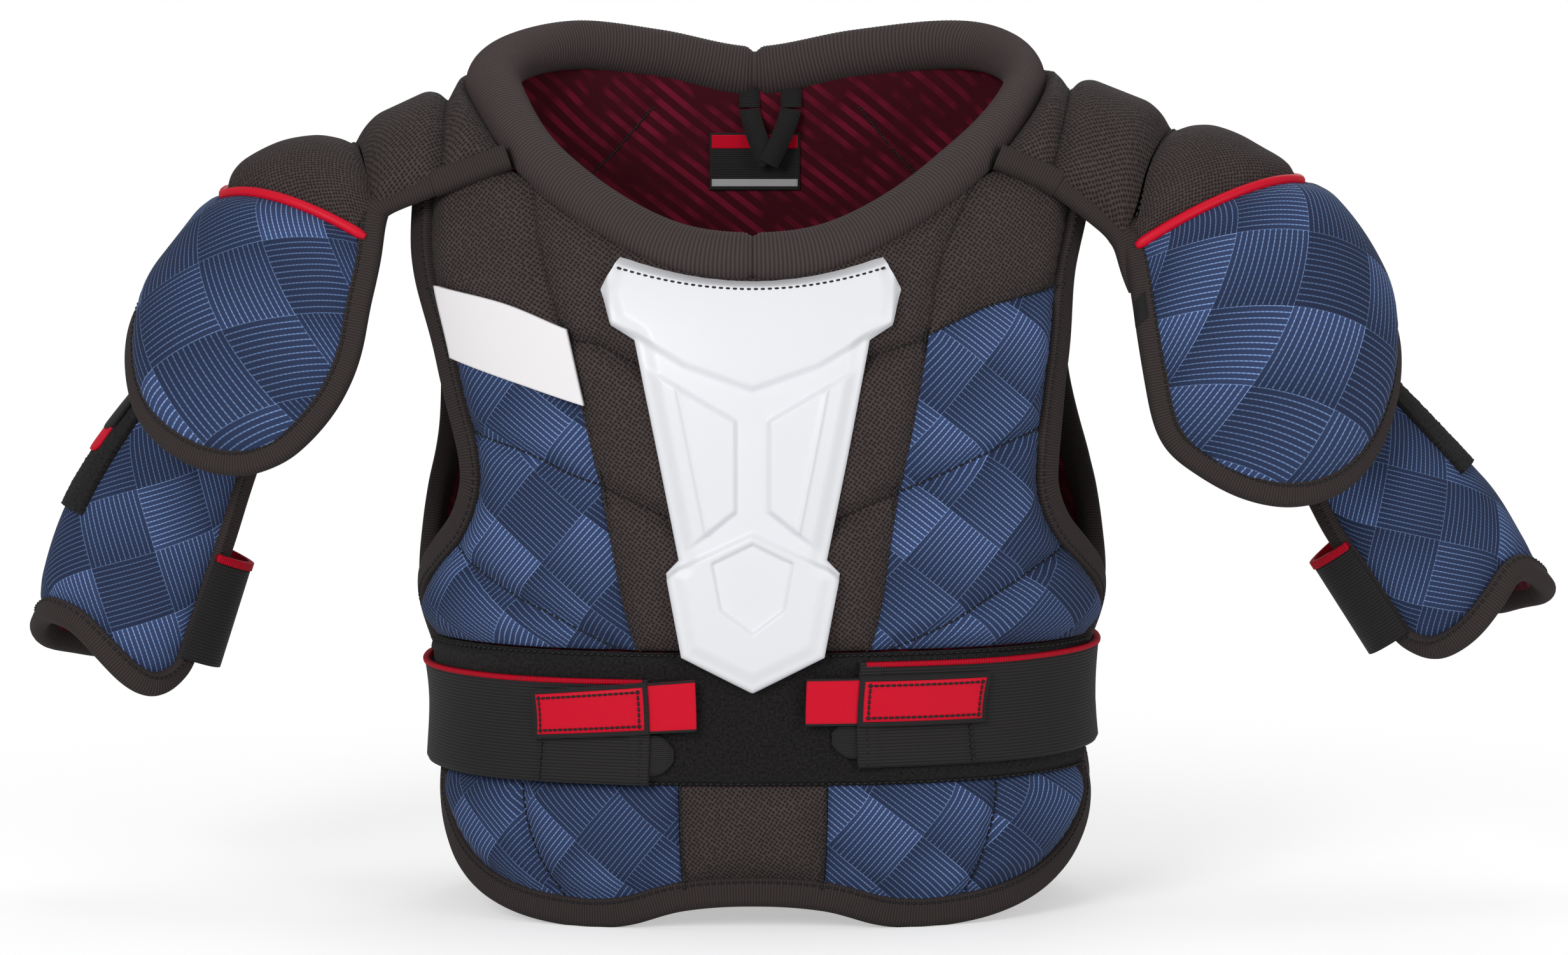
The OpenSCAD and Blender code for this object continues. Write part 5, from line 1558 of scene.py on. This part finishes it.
class ShoulderCaps(bpy.types.Operator):
    """Shoulder caps: mesh top, red piping, printed flap, binding and lining"""

    bl_idname = "pads.shoulder_caps"
    bl_label = "Shoulder caps"

    def execute(self, context):
        sizes = context.scene.pads_sizes
        for side in ("left", "right"):
            arm = ARM[side]
            body = side + "_shoulder_cap"
            # lines across the cap: the crease at its root, both sides of the piping, and near its rim
            lines = (
                lambda s: cap_crease(s, side),
                lambda s: pipe_line(s, side) - 0.04,
                lambda s: pipe_line(s, side) + 0.04,
                lambda s: cap_rim(s, side) - 0.12,
            )
            skin = cap_pad(side, lines[0], lines[1], sizes, 9.0, 56)
            twin(side, "cap_top", skin, "polyester_mesh", body, "mesh")
            skin = cap_pad(side, lines[2], lines[3], sizes, 8.6, 80)
            twin(side, "cap_flap", skin, "printed_knit", body, "print")
            # the piping, thinner at its two ends
            front = float(cap_front(1, side)) + 0.035
            rear = 0.97
            s = np.linspace(front, rear, 150)
            t = pipe_line(s, side)
            path = cap_at(s, t, CAP_D + 3.6 + cap_puff(s, t, side), arm)
            out = cap_at(s, t, CAP_D + 5, arm) - cap_at(s, t, CAP_D, arm)
            swell = 1 - 0.35 * np.exp(-(((s - front) / 0.02) ** 2))
            swell -= 0.35 * np.exp(-(((rear - s) / 0.02) ** 2))
            skin = swept(path, out, circle(2.5, 14), swell)
            twin(side, "cap_piping", skin, "red_piping", body, "red")
            # the binding runs down the front edge, round the rim and up the rear edge
            foot, corner = CAP_FRONT[side][-1]
            down = np.linspace(float(cap_crease(corner, side)) - 0.32, foot, 60)
            line = [(float(cap_front(t, side)), t) for t in down[:-1]]
            line += [(c, float(cap_rim(c, side))) for c in np.linspace(corner, 1, 160)]
            line += [(1, t) for t in np.linspace(float(cap_rim(1, side)), 0.08, 60)[1:]]
            line = np.array(line)
            path = cap_at(line[:, 0], line[:, 1], 5, arm)
            out = cap_at(line[:, 0], line[:, 1], 6, arm) - path
            soft = softened(spaced(np.concatenate([path, out], 1), 1.5), 24)
            skin, threads = bound_edge(soft, 5.3, 7.6, 4.5, 1, sizes)
            twin(side, "cap_binding", skin, "ribbed_binding", body, "binding")
            twin(side, "cap_stitches", threads, "nylon_thread", body)
            # the plastic insert, short of the edges and of the crease that flexes, and the lining
            c, v = np.meshgrid(np.linspace(-1, 1, 60), np.linspace(1, 0, 70))
            t = 0.008 + (cap_rim(c, side) - 0.1 - 0.008) * v
            s = cap_span(c, t, side, 4.2)
            uv = np.stack([s * 90, -t * 36], -1)
            short = (t + (cap_crease(s, side) + 0.3) * (1 - v)) * 0.95
            skin = solid(cap_at(s * 0.93, short, 3.9, arm), cap_at(s * 0.93, short, 1.9, arm), uv)
            twin(side, "cap_insert", skin, "white_polyethylene", body, "plastic")
            skin = solid(cap_at(s, t, 1.5, arm), cap_at(s, t, 0.0, arm), uv)
            twin(side, "cap_lining", skin, "lining_tricot", body, "lining")
        # a folded tag sewn over the binding
        u, v = np.meshgrid(np.radians(np.linspace(-62, 85, 24)), np.linspace(0, 1, 20))
        t = 1.62 + 0.4 * v
        s = cap_front(t, "left")
        place = cap_at(s, t, 5, ARM["left"])
        rim_way = unit(place - cap_at(s + 0.05, t, 5, ARM["left"]))
        up = unit(cap_at(s, t, 6, ARM["left"]) - place)
        wide = rim_way * (5.4 * np.sin(u))[..., None] + up * (6.2 * np.cos(u))[..., None]
        uv = np.stack([u * 6, v * 14], -1)
        skin = solid(place + wide, place + wide * 0.9, uv)
        ribbon = finish_of("black_ribbon")
        piece("left_cap_tag", skin, ribbon, "left_shoulder_cap", ["left_cap_tag"])
        return {"FINISHED"}


def wrap_skin(a, t, low, high, arm, radius=40):
    """A skin on a bicep wrap between two distances, with its cloth laid out at a radius."""
    uv = np.stack([np.radians(a) * radius, -t * BICEP_LEN], -1)
    return solid(bicep_at(a, t, high, arm), bicep_at(a, t, low, arm), uv)


def wrap_grid(side, columns, rows):
    """Degrees round and shares of the length over a wrap, inside its binding."""
    inset = 7
    top = 0.03
    hem = 0.045
    round_it = np.linspace(WRAP_BACK + inset, WRAP_FRONT - inset, columns)
    a, v = np.meshgrid(round_it, np.linspace(0, 1, rows))
    return a, top + (wrap_end(a, side) - hem - top) * v


def arm_strap(side, part, first, last, body, slot=None):
    """A stretch of an arm strap between two turns round the wrap: the elastic and its red edge."""
    arm = ARM[side]
    turns = np.linspace(first, last, 120)
    a, t = np.meshgrid(turns, np.linspace(0.59, 0.59 + ARM_STRAP_W / BICEP_LEN, 26))
    strap = twin(side, part, wrap_skin(a, t, GAP, GAP + 2.2, arm, 42), "woven_elastic", body, slot)
    a, t = np.meshgrid(turns, np.linspace(0.568, 0.594, 8))
    skin = wrap_skin(a, t, GAP, GAP + 2.9, arm, 42)
    return strap, twin(side, part + "_edge", skin, "red_selvedge", body)


class Biceps(bpy.types.Operator):
    """Bicep wraps with their bindings, loop patches, straps and hangers"""

    bl_idname = "pads.biceps"
    bl_label = "Bicep wraps"

    def execute(self, context):
        sizes = context.scene.pads_sizes
        for side in ("left", "right"):
            arm = ARM[side]
            body = side + "_bicep"
            a, t = wrap_grid(side, 110, 80)
            base = bicep_at(a, t, -4, arm)
            lines = [(rim_line(base), 1.6, 0.5, 14.0)]
            height = stuffed(base.reshape(-1, 3), lines, sizes, 5.2).reshape(a.shape)
            skin = wrap_skin(a, t, -7.4, height - 5.6, arm)
            twin(side, "bicep_pad", skin, "printed_knit", body, "print")
            a, t = wrap_grid(side, 70, 50)
            skin = wrap_skin(a, t, -9.0, -7.2, arm, 36)
            twin(side, "bicep_lining", skin, "lining_tricot", body, None)
            # the binding runs down the rear edge, round the hem and up the front edge
            rise = np.linspace(0.02, 1, 40)
            line = [(WRAP_BACK, f * float(wrap_end(WRAP_BACK, side))) for f in rise[:-1]]
            line += [(c, float(wrap_end(c, side))) for c in np.linspace(WRAP_BACK, WRAP_FRONT, 120)]
            line += [(WRAP_FRONT, f * float(wrap_end(WRAP_FRONT, side))) for f in rise[-2::-1]]
            line = np.array(line)
            path = bicep_at(line[:, 0], line[:, 1], -5, arm)
            out = bicep_at(line[:, 0], line[:, 1], 0, arm) - path
            soft = softened(spaced(np.concatenate([path, unit(out)], 1), 1.5), 14)
            skin, threads = bound_edge(soft, 4.5, 7.4, 4.5, -1, sizes)
            twin(side, "bicep_binding", skin, "ribbed_binding", body, "binding")
            twin(side, "bicep_stitches", threads, "nylon_thread", body)
            # the loop patch, rough with its pile
            a, t = np.meshgrid(np.linspace(-52, -4, 28), np.linspace(0.2, 0.63, 64))
            chance = np.random.default_rng(11)
            thick = 1.5 + chance.normal(0, 0.15, a.shape)
            skin = wrap_skin(a, t, -1.5, GAP + thick, arm)
            twin(side, "bicep_patch", skin, "nylon_loop", body, "loop")
            if side == "right":
                # end of the upper strap on the loop patch, with its pull tab
                for part, top, foot, width, rise, finish in (
                    ("bicep_hook", 0.17, 0.335, 9.5, 2.6, "black_ribbon"),
                    ("bicep_tab", 0.3, 0.42, 7, 2.1, "red_satin"),
                ):
                    c, v = np.meshgrid(np.linspace(-1, 1, 20), np.linspace(0, 1, 30))
                    a = -27 + c * width * np.sqrt(1 - np.clip((v - 0.75) / 0.26, 0, 1) ** 2)
                    skin = wrap_skin(a, top + (foot - top) * v, GAP + rise - 1, GAP + rise + 1, arm)
                    twin(side, part, skin, finish, body)
            # the strap opens where its root is sewn to the wrap
            strap, edge = arm_strap(side, "bicep_strap", 105, 282, side + "_arm_strap", "elastic")
            arm_strap(side, "bicep_strap_root", 92, 106.2, body)
            # the strip that hangs the wrap from the cap's lining
            f, v = np.meshgrid(np.linspace(0, 1, 20), np.linspace(0, 1, 40))
            foot = bicep_at(20 - 40 * f, 0.2 - 0.17 * np.minimum(v * 2, 1), GAP + 1, arm)
            head = cap_at(-0.32 + 0.44 * f, 2.9, -2.9, arm)
            knee = bicep_at(20 - 40 * f, 0.03, GAP + 1, arm)
            mid = knee + (head - knee) * np.clip(v * 2 - 1, 0, 1)[..., None]
            place = np.where((v < 0.5)[..., None], foot, mid)
            out = unit(np.cross(np.gradient(place, axis=1), np.gradient(place, axis=0)))
            uv = np.stack([f * 28, v * 70], -1)
            skin = solid(place + out * 0.9, place - out * 0.9, uv)
            twin(side, "bicep_hanger", skin, "woven_elastic", body, "elastic")
        return {"FINISHED"}


class Labels(bpy.types.Operator):
    """Bare chest patch, bare size label and hanger ribbon"""

    bl_idname = "pads.labels"
    bl_label = "Labels and hanger"

    def execute(self, context):
        foot = [[-51, 259.6], [-35.7, 249.5], [-23.2, 239.9]]
        head = [[-53.6, 292], [-37.7, 285], [-25.8, 273.9]]
        ends = [[foot[i], head[i]] for i in (0, -1)]
        q = patch(foot, head, *ends, np.linspace(0, 1, 60), np.linspace(0, 1, 40))
        d = np.full(q.shape[:2], GUARD_D - 0.3)
        skin = strip(q[..., 0], q[..., 1], d - 2.5, d + 0.7)
        piece("chest_patch", skin, finish_of("white_film"), "front", ["chest_patch"])
        c, f = np.meshgrid(np.linspace(-5.2, 5.2, 30), np.linspace(0, 1, 24))
        skins = []
        for z0, z1, thick in ((331, 359, 1.0), (351.5, 358, 1.25), (333, 336.5, 1.25)):
            z = z0 + (z1 - z0) * f
            a = 180 + c * (1 if thick < 1.1 else 0.94)
            uv = np.stack([arc(a), z], -1)
            skins.append(solid(torso(a, z, -LINING_T - 0.7), torso(a, z, -LINING_T - 0.7 - thick), uv))
        piece("size_label", skins[0], finish_of("black_ribbon"), "back", ["size_label"])
        piece("size_label_band", skins[1], finish_of("red_satin"), "back")
        piece("size_label_strip", skins[2], finish_of("grey_satin"), "back")
        # two legs of one ribbon, drawn together and folded at the foot
        t = np.linspace(0, 1, 50)
        section = [(0.5, -4.8), (0.6, 0), (0.5, 4.8), (0, 5), (-0.5, 4.8), (-0.6, 0), (-0.5, -4.8), (0, -5)]
        legs = []
        ends = []
        for x0, y0 in ((-2.5, 69.9), (17.5, 68.4)):
            bow = np.sin(np.pi * t)
            path = np.stack([x0 + (6.5 - x0) * t**1.3, y0 - 0.6 * bow, 370.6 - 26.6 * t], -1)
            out = np.stack([0.12 * (x0 - 6) / 10 * bow, -np.ones_like(t), 0 * t], -1)
            legs.append(swept(path, out, section))
            top = np.stack([x0 + 0 * t, y0 + 0 * t, 383 - 11.6 * t], -1)
            ends.append(swept(top, np.stack([0 * t, -np.ones_like(t), 0 * t], -1), section))
        ribbon = finish_of("black_ribbon")
        piece("hanger_ends", joined(ends), ribbon, "back")
        made = piece("hanger_loop", joined(legs), ribbon, "hanger", ["hanger_loop"])
        return {"FINISHED"}


class Stage(bpy.types.Operator):
    """Pale floor, soft studio light and the photograph's camera"""

    bl_idname = "pads.stage"
    bl_label = "Stage"

    def execute(self, context):
        scene = context.scene
        scene.view_settings.view_transform = "Standard"
        mesh = bpy.data.meshes.new("floor")
        mesh.from_pydata([(-9, -9, 0), (9, -9, 0), (9, 9, 0), (-9, 9, 0)], [], [(0, 1, 2, 3)])
        floor = bpy.data.objects.new("floor", mesh)
        scene.collection.objects.link(floor)
        # matt white paper: it takes the object's soft shadow and is white to the camera elsewhere
        paper = bpy.data.materials.new("white_paper")
        paper.use_nodes = True
        tree = paper.node_tree
        shader = tree.nodes["Principled BSDF"]
        shader.inputs["Base Color"].default_value = (0.86, 0.86, 0.86, 1)
        shader.inputs["Roughness"].default_value = 1.0
        shader.inputs["Specular IOR Level"].default_value = 0.0
        shader.inputs["Emission Color"].default_value = (1, 1, 1, 1)
        ray = node(tree, "ShaderNodeLightPath")
        here = node(tree, "ShaderNodeTexCoord")
        far = node(tree, "ShaderNodeVectorMath", [(0, here.outputs["Object"])], operation="LENGTH")
        fade = node(
            tree, "ShaderNodeMapRange",
            [("Value", far.outputs["Value"]), ("From Min", 0.3), ("From Max", 0.75)],
            interpolation_type="SMOOTHSTEP",
        )
        direct = ray.outputs["Is Camera Ray"]
        seen = node(tree, "ShaderNodeMath", [(0, direct), (1, fade.outputs[0])], operation="MULTIPLY")
        lift = node(tree, "ShaderNodeMath", [(0, direct), (1, 0.42)], operation="MULTIPLY")
        tree.links.new(lift.outputs[0], shader.inputs["Emission Strength"])
        white = node(tree, "ShaderNodeEmission", [("Strength", 1.0)])
        both_ways = node(
            tree, "ShaderNodeMixShader",
            [(0, seen.outputs[0]), (1, shader.outputs[0]), (2, white.outputs[0])],
        )
        tree.links.new(both_ways.outputs[0], tree.nodes["Material Output"].inputs["Surface"])
        mesh.materials.append(paper)
        world = bpy.data.worlds.new("studio")
        scene.world = world
        world.use_nodes = True
        tree = world.node_tree
        ray = node(tree, "ShaderNodeLightPath")
        level = node(
            tree, "ShaderNodeMapRange",
            [("Value", ray.outputs["Is Camera Ray"]), ("To Min", 0.36), ("To Max", 1.0)],
        )
        background = tree.nodes["Background"]
        background.inputs["Color"].default_value = (1, 1, 1, 1)
        tree.links.new(level.outputs[0], background.inputs["Strength"])
        target = Vector(CAMERA_TARGET)
        for name, place, size, power in (
            ("key", (-1.0, -2.0, 1.1), 1.1, 23),
            ("fill", (1.5, -1.7, 0.7), 1.4, 12),
            ("top", (0.1, 0.3, 1.9), 1.2, 3.5),
            ("rear", (0.3, 1.8, 1.3), 1.4, 7),
        ):
            lamp = bpy.data.lights.new(name, "AREA")
            lamp.shape = "DISK"
            lamp.size = size
            lamp.energy = power
            held = bpy.data.objects.new(name, lamp)
            held.location = place
            held.rotation_euler = (target - Vector(place)).to_track_quat("-Z", "Y").to_euler()
            scene.collection.objects.link(held)
        lens = bpy.data.cameras.new("camera")
        lens.lens = CAMERA_LENS
        lens.sensor_width = 36
        lens.clip_end = 50
        camera = bpy.data.objects.new("camera", lens)
        rise = math.radians(CAMERA_RISE)
        back = Vector((0, -math.cos(rise), math.sin(rise)))
        camera.location = target + back * CAMERA_FAR
        camera.rotation_euler = (-back).to_track_quat("-Z", "Y").to_euler()
        scene.collection.objects.link(camera)
        scene.camera = camera
        return {"FINISHED"}


STEPS = (
    Linings, FrontPads, BackPads, Bindings, NeckRoll, SternumGuard, BellyBand, BellyStraps, Yokes,
    ShoulderCaps, Biceps, Labels, Stage,
)


class PadsPanel(bpy.types.Panel):
    """Sizes, colours and steps of the pads"""

    bl_idname = "VIEW3D_PT_pads"
    bl_label = "Shoulder pads"
    bl_space_type = "VIEW_3D"
    bl_region_type = "UI"
    bl_category = "Pads"

    def draw(self, context):
        for group in (context.scene.pads_sizes, context.scene.pads_colours):
            box = self.layout.box()
            for name in group.__annotations__:
                box.prop(group, name)
        for step in STEPS:
            self.layout.operator(step.bl_idname)


CLASSES = (PadsSizes, PadsColours) + STEPS + (PadsPanel,)


def register():
    """Adds the sizes, the colours, the operators and the panel to Blender."""
    for c in CLASSES:
        bpy.utils.register_class(c)
    bpy.types.Scene.pads_sizes = bpy.props.PointerProperty(type=PadsSizes)
    bpy.types.Scene.pads_colours = bpy.props.PointerProperty(type=PadsColours)


def unregister():
    """Takes them out again."""
    del bpy.types.Scene.pads_colours
    del bpy.types.Scene.pads_sizes
    for c in reversed(CLASSES):
        bpy.utils.unregister_class(c)


def main():
    """Registers the add-on, then builds every piece in order."""
    register()
    bpy.ops.pads.linings()
    bpy.ops.pads.front_pads()
    bpy.ops.pads.back_pads()
    bpy.ops.pads.bindings()
    bpy.ops.pads.neck_roll()
    bpy.ops.pads.sternum_guard()
    bpy.ops.pads.belly_band()
    bpy.ops.pads.belly_straps()
    bpy.ops.pads.yokes()
    bpy.ops.pads.shoulder_caps()
    bpy.ops.pads.biceps()
    bpy.ops.pads.labels()
    bpy.ops.pads.stage()


if __name__ == "__main__":
    main()
